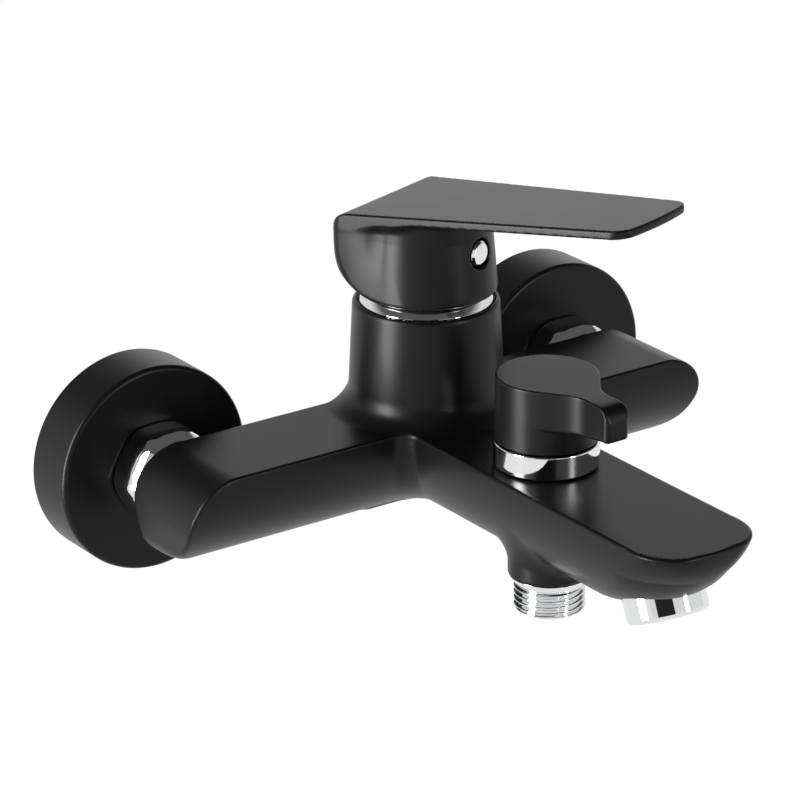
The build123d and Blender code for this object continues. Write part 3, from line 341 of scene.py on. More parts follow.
def rounded_profile(corners: list[Corner], closed: bool, steps: int = 6) -> tuple[Array, Array]:
    """Points and outward normals round a profile with filleted corners.

    Args:
        corners: Corners counter-clockwise in the (r, z) plane.
        closed: Whether the last corner joins the first; an open profile's ends lie on the axis.
        steps: Segments per fillet.

    Returns:
        Points (n, 2) and unit normals (n, 2).
    """
    place = np.array([(c.r, c.z) for c in corners], float)
    count = len(corners)
    points, normals = [], []
    for i, corner in enumerate(corners):
        if not closed and i in (0, count - 1):
            along = place[1] - place[0] if i == 0 else place[-1] - place[-2]
            along /= np.linalg.norm(along)
            points.append(place[i])
            normals.append((along[1], -along[0]))
            continue
        came, goes = place[i] - place[i - 1], place[(i + 1) % count] - place[i]
        size = min(np.linalg.norm(came), np.linalg.norm(goes))
        came, goes = came / np.linalg.norm(came), goes / np.linalg.norm(goes)
        turn = math.atan2(came[0] * goes[1] - came[1] * goes[0], float(came @ goes))
        fillet = min(corner.fillet, 0.49 * size / max(abs(math.tan(turn / 2)), 1e-6))
        start = place[i] - came * fillet * abs(math.tan(turn / 2))
        first = np.array((came[1], -came[0]))
        side = 1 if turn > 0 else -1
        centre = start - first * fillet * side
        for angle in np.linspace(0, turn, steps + 1):
            c, s = math.cos(angle), math.sin(angle)
            normal = np.array((c * first[0] - s * first[1], s * first[0] + c * first[1]))
            points.append(centre + normal * fillet * side)
            normals.append(normal)
    return np.array(points), np.array(normals)


@dataclass(frozen=True)
class Axis:
    """Where a turned piece stands: its zero point and the direction of its axis."""

    origin: tuple[float, float, float]
    direction: tuple[float, float, float]

    def base(self) -> tuple[Array, Array, Array]:
        """Right-handed base of the piece.

        Returns:
            Two unit vectors square to the axis, and the axis itself.
        """
        w = np.array(self.direction, float)
        w /= np.linalg.norm(w)
        helper = np.array((1.0, 0, 0)) if abs(w[0]) < 0.8 else np.array((0, 1.0, 0))
        u = helper - w * (helper @ w)
        u /= np.linalg.norm(u)
        return u, np.cross(w, u), w


@dataclass(frozen=True)
class Turned:
    """A piece turned on a lathe from one profile."""

    axis: Axis
    corners: list[Corner]
    closed: bool = True
    segments: int = 144

    def build(self) -> MeshData:
        """Sweep the profile round the axis.

        Returns:
            A closed surface: a ring, or a body with one vertex at each pole.
        """
        profile, slope = rounded_profile(self.corners, self.closed)
        turn = np.linspace(0, 2 * math.pi, self.segments, endpoint=False)
        u, v, w = self.axis.base()
        radial = np.cos(turn)[:, None] * u + np.sin(turn)[:, None] * v
        rings = profile if self.closed else profile[1:-1]
        lean = slope if self.closed else slope[1:-1]
        grid = (radial[:, None] * rings[None, :, :1] + w * rings[None, :, 1:]
                + np.array(self.axis.origin))
        face = radial[:, None] * lean[None, :, :1] + w * lean[None, :, 1:]
        rows, cols = len(turn), len(rings)
        i, j = np.meshgrid(np.arange(rows), np.arange(cols if self.closed else cols - 1),
                           indexing="ij")
        a, b = i * cols + j, ((i + 1) % rows) * cols + j
        c, d = ((i + 1) % rows) * cols + (j + 1) % cols, i * cols + (j + 1) % cols
        quads = np.stack([a, b, c, d], -1).reshape(-1, 4)
        points, normals = grid.reshape(-1, 3), face.reshape(-1, 3)
        if self.closed:
            return MeshData(points, quads, normals)
        poles = [np.array(self.axis.origin) + w * profile[k][1] for k in (0, -1)]
        points = np.vstack([points, poles])
        normals = np.vstack([normals, -w, w])
        first = np.arange(rows)
        nxt = (first + 1) % rows
        low = np.stack([np.full(rows, rows * cols), nxt * cols, first * cols,
                        first * cols], 1)
        high = np.stack([np.full(rows, rows * cols + 1), first * cols + cols - 1,
                         nxt * cols + cols - 1, nxt * cols + cols - 1], 1)
        return MeshData(points, np.vstack([quads, low, high]), normals)


@dataclass(frozen=True)
class ThreadedTube:
    """A tube whose outside carries a pipe thread.

    The outer radius is the crest radius less the thread's depth times a triangle
    wave of (z / pitch - turn / 2 pi), faded out at both ends of the thread.
    """

    axis: Axis
    corners: list[Corner]
    thread_low: float
    thread_high: float
    crest: float
    pitch: float = 1.814
    depth: float = 1.0
    segments: int = 144

    def build(self) -> MeshData:
        """Sweep the profile and press the thread into it.

        Returns:
            The closed surface, with normals left to the mesh.
        """
        profile, _ = rounded_profile(self.corners, True)
        dense = []
        for start, end in zip(profile, np.roll(profile, -1, axis=0)):
            on_crest = abs(start[0] - self.crest) < 0.01 and abs(end[0] - self.crest) < 0.01
            cuts = max(int(abs(end[1] - start[1]) / 0.09), 1) if on_crest else 1
            dense.append(start + (end - start) * (np.arange(cuts) / cuts)[:, None])
        rings = np.concatenate(dense)
        turn = np.linspace(0, 2 * math.pi, self.segments, endpoint=False)
        phase = rings[None, :, 1] / self.pitch - turn[:, None] / (2 * math.pi)
        wave = np.abs(2 * (phase - np.floor(phase)) - 1)
        wave = np.clip(wave * 1.35 - 0.18, 0, 1)
        fade = np.clip((rings[:, 1] - self.thread_low) / 1.2, 0, 1)
        fade *= np.clip((self.thread_high - rings[:, 1]) / 1.2, 0, 1)
        outside = np.abs(rings[:, 0] - self.crest) < 0.01
        radius = rings[None, :, 0] - self.depth * wave * fade * outside
        u, v, w = self.axis.base()
        radial = np.cos(turn)[:, None] * u + np.sin(turn)[:, None] * v
        grid = (radial[:, None] * radius[..., None] + w * rings[None, :, 1:]
                + np.array(self.axis.origin))
        rows, cols = grid.shape[:2]
        i, j = np.meshgrid(np.arange(rows), np.arange(cols), indexing="ij")
        nxt = (i + 1) % rows
        quads = np.stack([i * cols + j, nxt * cols + j, nxt * cols + (j + 1) % cols,
                          i * cols + (j + 1) % cols], -1).reshape(-1, 4)
        return MeshData(grid.reshape(-1, 3), quads)


# ---------------------------------------------------------------------------
# The casting
# ---------------------------------------------------------------------------
@dataclass(frozen=True)
class Casting(Shape):
    """Crossbar, spout, barrel and outlet neck in one field, with cast blends."""

    at: Layout
    top: float = 14.8
    bottom: float = -17.5
    crown: float = 13.0
    belly_start: float = 38.0
    belly_reach: float = 29.4
    end_r: float = 14.8
    spout_half: float = 19.4
    spout_belly: float = 28.3
    tip_run: float = 57.0
    tip_crown: float = 3.0
    tip_corner: float = 9.8
    tip_rounding: float = 22.0
    spout_root: float = 50.0
    barrel_r: float = 23.15
    barrel_taper: float = 0.0486
    barrel_straight: float = 22.3
    barrel_low: float = 9.0
    barrel_rim: float = 1.4
    foot_r: float = 7.5
    back_low: float = -14.0
    back_r: float = 2.5
    neck_r: float = 12.2
    neck_bottom: float = -18.5
    neck_root: float = -2.0
    neck_web: float = 4.5
    crease: float = 0.9
    elbow_r: float = 5.5
    groove_r: float = 20.4
    groove_depth: float = 0.95
    back_edge_r: float = 3.2
    end_lean: float = 0.17
    end_foot_r: float = 7.5
    wrap_gain: float = 3.2
    bar_only: float = 60.0

    def _gauge(self, x: Array, d: Array) -> Array:
        """Which of the spout's nested plan outlines runs through a point.

        Outline c is 2 * spout_half * c wide, ends tip_run * (1 - c) short of the tip
        and has round corners; c is found by halving its range.

        Args:
            x: Places to the right.
            d: Depths from the wall plane.

        Returns:
            The outline's c, where 1 is the outline of the top face.
        """
        shape = np.broadcast(x, d).shape
        low, high = np.full(shape, 0.01), np.full(shape, 8.0)
        side = np.abs(x)
        root = self.at.spout_tip - self.tip_run
        for _ in range(22):
            c = (low + high) / 2
            half = self.spout_half * c
            corner = self.tip_corner + self.tip_rounding * np.sqrt(np.clip(1 - c * c, 0, 1))
            corner = np.minimum(corner, 0.95 * half)
            sag = self.tip_crown * np.minimum(side / half, 1) ** 2 * c
            end = d - root - self.tip_run * c + sag
            u, v = np.maximum(side - half + corner, 0), np.maximum(end + corner, 0)
            out = np.minimum(np.maximum(side - half, end), -corner) + np.hypot(u, v) > 0
            low, high = np.where(out, c, low), np.where(out, high, c)
        return (low + high) / 2

    def _spout(self, x: Array, d: Array, h: Array) -> Array:
        """Spout without its flat top: nested outlines sunk along a quarter ellipse.

        Args:
            x: Places to the right.
            d: Depths from the wall plane.
            h: Heights above the inlets' axis.

        Returns:
            The field: the reach (gauge, sink) less 1, over its gradient's length.
        """
        gauge = self._gauge(x, d)
        rate = np.hypot(self._gauge(np.abs(x) + 0.05, d) - gauge, self._gauge(x, d + 0.05) - gauge)
        rate = rate / 0.05
        sink = np.maximum(self.top - h, 0) / self.spout_belly
        reach = np.hypot(gauge, sink)
        steep = np.hypot(gauge * rate, sink / self.spout_belly)
        out = reach * (reach - 1) / np.maximum(steep, 1e-4)
        return np.maximum(out, self.spout_root - d)

    def _bar_section(self, d: Array, h: Array) -> Array:
        """Side section of the crossbar without its top: upright back, elliptical front.

        Args:
            d: Depths from the wall plane.
            h: Heights above the inlets' axis.

        Returns:
            The field of the section.
        """
        drop = self.crown - self.bottom
        qd, qh = np.maximum(d - self.belly_start, 0), np.maximum(self.crown - h, 0)
        k0 = np.hypot(qd / self.belly_reach, qh / drop) + 1e-9
        k1 = np.hypot(qd / self.belly_reach**2, qh / drop**2) + 1e-9 / drop
        belly = k0 * (k0 - 1) / k1
        return both(belly, self.at.bar_back - d, self.back_edge_r)

    def field(self, x: Array, y: Array, z: Array) -> Array:
        """See Shape.field."""
        d, h = -y, z - self.at.axis_z
        side = np.abs(x)
        above = h - self.top
        section = self._bar_section(d, h)
        # Each end face is upright above and leans in below; its crease grows downwards.
        lean = (side - self.at.bar_half + self.end_lean * np.maximum(-1.0 - h, 0)) * 0.985
        ends = both(both(above, side - self.at.bar_half, self.end_r),
                    both(lean, self.bottom - h, self.end_foot_r), 0.4)
        wrap = self.crease + self.wrap_gain * np.clip((-4.0 - h) / 11.0, 0, 1) ** 2
        bar = both(section, ends, wrap)
        middle = either(section, self._spout(x, d, h), self.elbow_r)
        middle = both(middle, above, self.crease)
        body = np.where(side > self.bar_only, bar, middle)
        off = np.hypot(x, y - self.at.barrel_y)
        behind = both(off - self.barrel_r, self.back_low - h, 2.0)
        behind = np.maximum(np.maximum(behind, d + self.at.barrel_y), above)
        taper = self.barrel_r - self.barrel_taper * np.maximum(h - self.barrel_straight, 0)
        barrel = both(off - taper, z - self.at.barrel_top, self.barrel_rim)
        groove = np.maximum(off - self.groove_r, self.at.barrel_top - self.groove_depth - z)
        # The barrel runs down the back of the bar, and its fillet grows towards the bar's top.
        column = np.minimum(np.maximum(barrel, self.barrel_low - h), behind)
        growth = np.clip((h - 10.0) / 5.0, 0, 1)
        body = either(body, column, self.back_r + (self.foot_r - self.back_r) * growth)
        body = without(body, groove, 0.12)
        neck = np.hypot(x, y - self.at.outlet_y) - self.neck_r
        neck = both(neck, self.neck_bottom - h, 0.45)
        return either(body, np.maximum(neck, h - self.neck_root), self.neck_web)


@dataclass(frozen=True)
class Lever(Shape):
    """Handle: flat tapering plate, round neck and square shoulder, hollow below."""

    at: Layout
    yaw: float = math.radians(17.5)
    plate_h: float = 78.7
    slope: float = math.tan(math.radians(7.75))
    thickness: float = 2.6
    half: float = 21.0
    taper: float = 0.0535
    tip: float = 82.5
    back: float = 11.7
    roll: float = 8.0
    heel: float = 19.7
    bottom: float = 50.9
    pivot: float = 36.0
    hollow: float = 23.53
    plug_h: float = 65.5
    plug_r: float = 4.65
    plug_floor: float = 16.1
    neck_r: float = 21.2
    neck_draft: float = 0.082
    back_half: float = 21.1
    back_growth: float = 0.9
    back_corner: float = 3.5
    corner_growth: float = 0.029
    web: float = 3.6
    tip_corner: float = 4.6
    heel_corner: float = 4.4
    tip_sag: float = 1.6
    tip_half: float = 16.2
    edge_r: float = 0.6
    top_edge_r: float = 0.75
    relief: float = 0.0235
    relief_start: float = -2.0
    rim_r: float = 1.3

    def field(self, x: Array, y: Array, z: Array) -> Array:
        """See Shape.field."""
        s, c = math.sin(self.yaw), math.cos(self.yaw)
        u = x * s - (y - self.at.barrel_y) * c
        v = x * c + (y - self.at.barrel_y) * s
        h = z - self.at.axis_z
        level = math.cos(math.atan(self.slope))
        top = (h - self.plate_h - self.slope * u) * level
        under = -(top + self.thickness)
        # Plan: half a circle in front that runs on into a square back, swelling to the plate.
        neck = self.neck_r - self.neck_draft * np.clip(h - 52, 0, 18)
        share = np.clip(-u / 13, 0, 1)
        back = self.back_half + self.back_growth * np.clip((h - 52) / 20, 0, 1)
        swell = (back - neck) * share**2 * (3 - 2 * share)
        corner = self.back_corner + self.corner_growth * np.maximum(69 - h, 0) ** 2
        front = np.hypot(u, v) - neck
        qv, qu = np.abs(v) - neck - swell + corner, -u - self.heel + corner
        square = np.hypot(np.maximum(qv, 0), np.maximum(qu, 0)) - corner
        square = square + np.minimum(np.maximum(qv, qu), 0)
        trunk = np.where(u > 0, front, square)
        side = (np.abs(v) - self.half + self.taper * u) * 0.999
        tip = u - self.tip + self.tip_sag * (v / self.tip_half) ** 2
        plan = both(both(side, tip, self.tip_corner), -u - self.heel, self.heel_corner)
        solid = either(trunk, under, self.web)
        solid = both(solid, plan, self.edge_r)
        roll = np.hypot(np.maximum(-u - self.back, 0),
                        np.maximum(h - self.plate_h + self.slope * self.back + self.roll, 0))
        roll = roll - self.roll
        top = np.where(u < -self.back, np.maximum(roll, top), top)
        solid = both(solid, top, self.top_edge_r)
        # The bottom rises towards the heel, which leaves room for the lift.
        rise = self.relief * np.clip(self.relief_start - u, 0, 22) ** 2
        edge = self.rim_r + 1.2 * np.clip(-u / 15, 0, 1)
        solid = both(solid, (self.bottom + rise - h) * 0.94, edge)
        solid = without(solid, np.sqrt(u * u + v * v + (h - self.pivot) ** 2) - self.hollow, 0.5)
        recess = np.maximum(np.hypot(v, h - self.plug_h) - self.plug_r, self.plug_floor - u)
        return without(solid, recess, 0.35)


@dataclass(frozen=True)
class Knob(Shape):
    """Diverter knob: a drum whose side flares into a thumb fin."""

    at: Layout
    radius: float = 14.95
    low: float = 22.8
    high: float = 42.6
    fin_half: float = 3.9
    fin_reach: float = 33.0
    fin_low: float = 30.4
    web: float = 9.0
    nose_start: float = 25.0
    nose_run: float = 8.0
    recess_r: float = 11.3
    recess_top: float = 25.0

    def field(self, x: Array, y: Array, z: Array) -> Array:
        """See Shape.field."""
        h = z - self.at.axis_z
        out = self.at.diverter_y - y
        drum = np.hypot(x, out) - self.radius
        width = self.fin_half + 0.02 * np.maximum(out - 20, 0)
        fin = np.maximum(both(np.abs(x) - width, out - self.fin_reach, 1.6), -out)
        plan = either(drum, fin, self.web)
        lift = 1.6 * np.clip((out - 14) / 16, 0, 1) ** 2
        wing = both(plan, self.fin_low + lift - h, 1.1)
        knob = np.minimum(both(drum, self.low - h, 0.45), wing)
        knob = both(knob, h - self.high, 0.55)
        # The nose falls away in a curve that is nearly upright at its end.
        ahead = np.clip((out - self.nose_start) / self.nose_run, 0, 1.2)
        scoop = h - self.high + 0.8 * ahead**2 + 3.2 * ahead**6
        knob = both(knob, scoop * 0.8, 0.5)
        recess = np.maximum(np.hypot(x, out) - self.recess_r, h - self.recess_top)
        return without(knob, recess, 0.2)


@dataclass(frozen=True)
class HexNut(Shape):
    """Union nut: hexagon with turned corners and a domed face towards the room."""

    x: float
    z: float
    near: float
    far: float
    apothem: float = 14.6
    corner: float = 15.6
    bore: float = 11.6
    dome: float = 10.5
    chamfer: float = 0.9

    def field(self, x: Array, y: Array, z: Array) -> Array:
        """See Shape.field."""
        px, pz, d = x - self.x, z - self.z, -y
        flats = np.maximum(np.abs(pz), np.abs(px) * math.sqrt(0.75) + np.abs(pz) * 0.5)
        off = np.hypot(px, pz)
        nut = both(flats - self.apothem, off - self.corner, 1.2)
        nut = both(nut, self.near - d, 0.3)
        nut = both(nut, d - self.far, self.dome)
        slant = (off - self.corner + self.chamfer - d + self.near) * 0.707
        nut = both(nut, slant, 0.3)
        return without(nut, off - self.bore, 0.2)


# ---------------------------------------------------------------------------
# Materials
# ---------------------------------------------------------------------------
class Slot(Enum):
    """Material slots of the record."""

    BLACK = "matt_black"
    CHROME = "chrome"
    BRASS = "brass"
    STEEL = "steel"
    CERAMIC = "ceramic"
    PLASTIC = "grey_plastic"
    RUBBER = "rubber"


@dataclass(frozen=True)
class Finish:
    """One surface finish: colour, reflection, and the strength of its shared effects."""

    slot: Slot
    color: tuple[float, float, float]
    metallic: float
    roughness: float
    grain: float = 0.0
    grain_scale: float = 2600.0
    wear: float = 0.0
    specular: float = 0.5


FINISHES = (
    Finish(Slot.BLACK, (0.0035, 0.0035, 0.0037), 0.0, 0.34, grain=0.05, wear=0.04, specular=0.18),
    Finish(Slot.CHROME, (0.80, 0.81, 0.82), 1.0, 0.05, grain=0.0, wear=0.015),
    Finish(Slot.BRASS, (0.60, 0.42, 0.17), 1.0, 0.28, grain=0.02, wear=0.10),
    Finish(Slot.STEEL, (0.55, 0.55, 0.56), 1.0, 0.25, grain=0.02, wear=0.08),
    Finish(Slot.CERAMIC, (0.80, 0.79, 0.76), 0.0, 0.22, wear=0.03),
    Finish(Slot.PLASTIC, (0.16, 0.165, 0.17), 0.0, 0.45, grain=0.05, grain_scale=1500, wear=0.04),
    Finish(Slot.RUBBER, (0.015, 0.015, 0.015), 0.0, 0.7, grain=0.12, grain_scale=900, wear=0.05),
)


class MaterialKit:
    """Builds one material per slot from shared node groups."""

    def __init__(self) -> None:
        """Make the shared groups once."""
        self.grain = self._grain_group()
        self.smudge = self._smudge_group()
        self.made: dict[Slot, bpy.types.Material] = {}

    @staticmethod
    def _grain_group() -> bpy.types.NodeTree:
        """Group: a fine bump from two octaves of noise in object space.

        Returns:
            The group, with Strength and Scale in and Normal out.
        """
        tree = bpy.data.node_groups.new("fine_grain", "ShaderNodeTree")
        tree.interface.new_socket("Strength", in_out="INPUT", socket_type="NodeSocketFloat")
        tree.interface.new_socket("Scale", in_out="INPUT", socket_type="NodeSocketFloat")
        tree.interface.new_socket("Normal", in_out="OUTPUT", socket_type="NodeSocketVector")
        nodes, links = tree.nodes, tree.links
        entry, leave = nodes.new("NodeGroupInput"), nodes.new("NodeGroupOutput")
        place = nodes.new("ShaderNodeTexCoord")
        noise = nodes.new("ShaderNodeTexNoise")
        noise.inputs["Detail"].default_value = 2.0
        noise.inputs["Roughness"].default_value = 0.6
        bump = nodes.new("ShaderNodeBump")
        bump.inputs["Distance"].default_value = 0.00012
        links.new(place.outputs["Object"], noise.inputs["Vector"])
        links.new(entry.outputs["Scale"], noise.inputs["Scale"])
        links.new(noise.outputs["Fac"], bump.inputs["Height"])
        links.new(entry.outputs["Strength"], bump.inputs["Strength"])
        links.new(bump.outputs["Normal"], leave.inputs["Normal"])
        return tree

    @staticmethod
    def _smudge_group() -> bpy.types.NodeTree:
        """Group: slow variation of the roughness, as handling and polishing leave it.

        Returns:
            The group, with Roughness and Spread in and Result out.
        """
        tree = bpy.data.node_groups.new("slow_smudge", "ShaderNodeTree")
        tree.interface.new_socket("Roughness", in_out="INPUT", socket_type="NodeSocketFloat")
        tree.interface.new_socket("Spread", in_out="INPUT", socket_type="NodeSocketFloat")
        tree.interface.new_socket("Result", in_out="OUTPUT", socket_type="NodeSocketFloat")
        nodes, links = tree.nodes, tree.links
        entry, leave = nodes.new("NodeGroupInput"), nodes.new("NodeGroupOutput")
        place = nodes.new("ShaderNodeTexCoord")
        noise = nodes.new("ShaderNodeTexNoise")
        noise.inputs["Scale"].default_value = 42.0
        noise.inputs["Detail"].default_value = 4.0
        shift = nodes.new("ShaderNodeMath")
        shift.operation = "SUBTRACT"
        shift.inputs[1].default_value = 0.5
        scale = nodes.new("ShaderNodeMath")
        scale.operation = "MULTIPLY"
        add = nodes.new("ShaderNodeMath")
        add.operation = "ADD"
        links.new(place.outputs["Object"], noise.inputs["Vector"])
        links.new(noise.outputs["Fac"], shift.inputs[0])
        links.new(shift.outputs[0], scale.inputs[0])
        links.new(entry.outputs["Spread"], scale.inputs[1])
        links.new(scale.outputs[0], add.inputs[0])
        links.new(entry.outputs["Roughness"], add.inputs[1])
        links.new(add.outputs[0], leave.inputs["Result"])
        return tree

    def make(self, finish: Finish) -> bpy.types.Material:
        """Build a finish.

        Args:
            finish: The finish to build.

        Returns:
            Its material.
        """
        material = bpy.data.materials.new(f"{finish.slot.value}_finish")
        material.use_nodes = True
        nodes, links = material.node_tree.nodes, material.node_tree.links
        shader = nodes["Principled BSDF"]
        shader.inputs["Base Color"].default_value = (*finish.color, 1)
        shader.inputs["Metallic"].default_value = finish.metallic
        shader.inputs["Roughness"].default_value = finish.roughness
        shader.inputs["Specular IOR Level"].default_value = finish.specular
        if finish.grain > 0:
            grain = nodes.new("ShaderNodeGroup")
            grain.node_tree = self.grain
            grain.inputs["Strength"].default_value = finish.grain
            grain.inputs["Scale"].default_value = finish.grain_scale
            links.new(grain.outputs["Normal"], shader.inputs["Normal"])
        if finish.wear > 0:
            smudge = nodes.new("ShaderNodeGroup")
            smudge.node_tree = self.smudge
            smudge.inputs["Roughness"].default_value = finish.roughness
            smudge.inputs["Spread"].default_value = finish.wear
            links.new(smudge.outputs["Result"], shader.inputs["Roughness"])
        self.made[finish.slot] = material
        return material


# ---------------------------------------------------------------------------
# Pieces
# ---------------------------------------------------------------------------
@dataclass(frozen=True)
class Part:
    """One visual piece: its surface, the CAD nodes it stands for, body and slot."""

    name: str
    mesh: MeshData
    nodes: tuple[str, ...]
    body: str
    slot: Slot

    def create(self, kit: MaterialKit) -> bpy.types.Object:
        """Args:
            kit: Source of the piece's material.

        Returns:
            The new object.
        """
        mesh = bpy.data.meshes.new(self.name)
        faces = self.mesh.faces
        tri = faces[:, 2] == faces[:, 3]
        polygons = faces[~tri].tolist() + faces[tri][:, :3].tolist()
        mesh.from_pydata((self.mesh.points * MM).tolist(), [], polygons)
        mesh.polygons.foreach_set("use_smooth", np.ones(len(mesh.polygons), bool))
        mesh.update()
        if self.mesh.normals is not None:
            mesh.normals_split_custom_set_from_vertices(self.mesh.normals.tolist())
        piece = bpy.data.objects.new(self.name, mesh)
        bpy.context.scene.collection.objects.link(piece)
        mesh.materials.append(kit.made[self.slot])
        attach(piece, self.body)
        if self.nodes:
            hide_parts(*self.nodes)
        LOG.info("%s: %d points, %d faces", self.name, len(self.mesh.points), len(polygons))
        return piece


class Assembly(ABC):
    """A group of pieces that belong together."""

    @abstractmethod
    def parts(self) -> list[Part]:
        """The group's pieces."""


@dataclass(frozen=True)
class BodyGroup(Assembly):
    """Black casting and the chrome ring on its barrel."""

    at: Layout
    step: float = 0.85

    def parts(self) -> list[Part]:
        """See Assembly.parts."""
        box = Spot.of("body_casting")
        skin = Skin(Casting(self.at), tuple(box.low), tuple(box.high), self.step).build()
        return [Part("body_surface", skin, ("body_casting",), "faucet_body", Slot.BLACK),
                Part("dome_surface", self._dome(), ("dome_ring",), "faucet_body", Slot.CHROME)]

    def _dome(self) -> MeshData:
        """Band that rises out of the barrel's rim as a dome about the hinge.

        Returns:
            A ring whose outside is a zone of a sphere.
        """
        base, pivot = self.at.barrel_top, self.at.barrel_top - 12.0
        radius, inner = 23.2, 21.75
        arc = [Corner(radius * math.cos(t), pivot + radius * math.sin(t), 0.3)
               for t in np.radians(np.linspace(30.6, 60.0, 16))]
        back = [Corner(inner * math.cos(t), pivot + inner * math.sin(t), 0.3)
                for t in np.radians(np.linspace(58.0, 43.5, 8))]
        corners = [Corner(17.4, base - 2.9), Corner(17.4, base - 0.9),
                   Corner(20.0, base - 0.9, 0.1), *arc, *back, Corner(15.95, base - 2.9)]
        corners = [Corner(15.95, base - 2.9, 0.1)] + corners[:-1]
        return Turned(Axis((0, self.at.barrel_y, 0), (0, 0, 1)), corners).build()


@dataclass(frozen=True)
class LeverGroup(Assembly):
    """Handle and the chrome plug in its neck."""

    at: Layout
    step: float = 0.62

    def parts(self) -> list[Part]:
        """See Assembly.parts."""
        box, plug = Spot.of("handle_lever"), Spot.of("handle_plug")
        skin = Skin(Lever(self.at), tuple(box.low), tuple(box.high), self.step).build()
        yaw = math.radians(17.5)
        out = (math.sin(yaw), -math.cos(yaw), 0.0)
        axis = Axis((0, self.at.barrel_y, float(plug.middle[2])), out)
        dome = [Corner(0, 16.4), Corner(3.5, 16.4, 0.1), Corner(3.88, 19.3, 0.35),
                Corner(3.1, 20.05, 0.8), Corner(1.6, 20.42, 1.2), Corner(0, 20.5)]
        cap = Turned(axis, dome, closed=False, segments=64).build()
        return [Part("handle_surface", skin, ("handle_lever",), "lever", Slot.BLACK),
                Part("plug_surface", cap, ("handle_plug",), "lever", Slot.CHROME)]


@dataclass(frozen=True)
class DiverterGroup(Assembly):
    """Diverter knob and the chrome ring it turns on."""

    at: Layout
    step: float = 0.45

    def parts(self) -> list[Part]:
        """See Assembly.parts."""
        box, ring = Spot.of("diverter_knob"), Spot.of("diverter_ring")
        skin = Skin(Knob(self.at), tuple(box.low), tuple(box.high), self.step).build()
        low, high, r = float(ring.low[2]), float(ring.high[2]), float(ring.size[0] / 2)
        collar = [Corner(11.0, low), Corner(r - 0.5, low, 0.1), Corner(r, low + 0.5, 0.35),
                  Corner(r, high, 0.5), Corner(11.0, high, 0.1)]
        axis = Axis((0, self.at.diverter_y, 0), (0, 0, 1))
        return [Part("knob_surface", skin, ("diverter_knob",), "diverter_rotor", Slot.BLACK),
                Part("diverter_ring_surface", Turned(axis, collar).build(), ("diverter_ring",),
                     "faucet_body", Slot.CHROME)]


@dataclass(frozen=True)
class WallGroup(Assembly):
    """Rosette and union nut of one inlet."""

    at: Layout
    side: str

    def parts(self) -> list[Part]:
        """See Assembly.parts."""
        cover, nut = Spot.of(f"rosette_{self.side}"), Spot.of(f"union_nut_{self.side}")
        x, z = float(cover.middle[0]), float(cover.middle[2])
        r, depth = float(cover.size[0] / 2), float(cover.size[1])
        corners = [Corner(r, 0, 0.15), Corner(r, depth, 1.5), Corner(13.65, depth, 0.35),
                   Corner(13.65, depth - 1.2, 0.1), Corner(r - 1.2, depth - 1.2, 0.9),
                   Corner(r - 1.2, 0, 0.15)]
        drum = Turned(Axis((x, 0, z), (0, -1, 0)), corners, segments=200).build()
        shape = HexNut(x, z, float(-nut.high[1]), float(-nut.low[1]))
        skin = Skin(shape, tuple(nut.low), tuple(nut.high), 0.42).build()
        return [Part(f"rosette_{self.side}_surface", drum, (f"rosette_{self.side}",),
                     "faucet_body", Slot.BLACK),
                Part(f"nut_{self.side}_surface", skin, (f"union_nut_{self.side}",),
                     "faucet_body", Slot.CHROME)]


@dataclass(frozen=True)
class OutletGroup(Assembly):
    """Threaded shower outlet and the aerator ring."""

    at: Layout

    def parts(self) -> list[Part]:
        """See Assembly.parts."""
        spot = Spot.of("shower_nipple")
        low, high = float(spot.low[2]), float(spot.high[2])
        collar, crest = float(spot.size[0] / 2), 10.48
        corners = [Corner(5.7, low, 0.1), Corner(9.6, low, 0.1), Corner(crest, low + 0.9, 0.05),
                   Corner(crest, low + 8.7, 0.2), Corner(collar, low + 11.1, 0.25),
                   Corner(9.0, low + 11.15, 0.05), Corner(9.0, high, 0.3), Corner(7.0, high, 0.1),
                   Corner(7.0, low + 2.2, 0.05), Corner(5.7, low + 2.2, 0.05)]
        nipple = ThreadedTube(Axis((0, self.at.outlet_y, 0), (0, 0, 1)), corners,
                              low + 0.4, low + 8.9, crest).build()
        return [Part("outlet_surface", nipple, ("shower_nipple",), "faucet_body", Slot.CHROME),
                Part("aerator_surface", self._aerator(), ("aerator_ring",), "faucet_body",
                     Slot.CHROME)]

    def _aerator(self) -> MeshData:
        """Aerator shell about its tilted axis, with a rolled lip at the mouth.

        Returns:
            The turned shell.
        """
        box, tilt = Spot.of("aerator_ring"), math.radians(23)
        length, r, neck = 16.0, 11.9, 10.9
        inward = np.array((0, math.sin(tilt), math.cos(tilt)))
        # The mouth's lowest point is r * sin(tilt) below its centre.
        mouth_z = float(box.low[2]) + r * math.sin(tilt)
        mouth_y = float(box.low[1]) + r * math.cos(tilt)
        corners = [Corner(10.3, 0.02, 0.3), Corner(r - 0.25, 0.02, 0.5), Corner(r, 1.2, 0.6),
                   Corner(r, 10.45, 0.1), Corner(neck, 10.5, 0.05), Corner(neck, length, 0.2),
                   Corner(9.4, length, 0.1), Corner(9.4, 1.0, 0.1), Corner(10.3, 1.0, 0.1)]
        return Turned(Axis((0, mouth_y, mouth_z), tuple(inward)), corners).build()


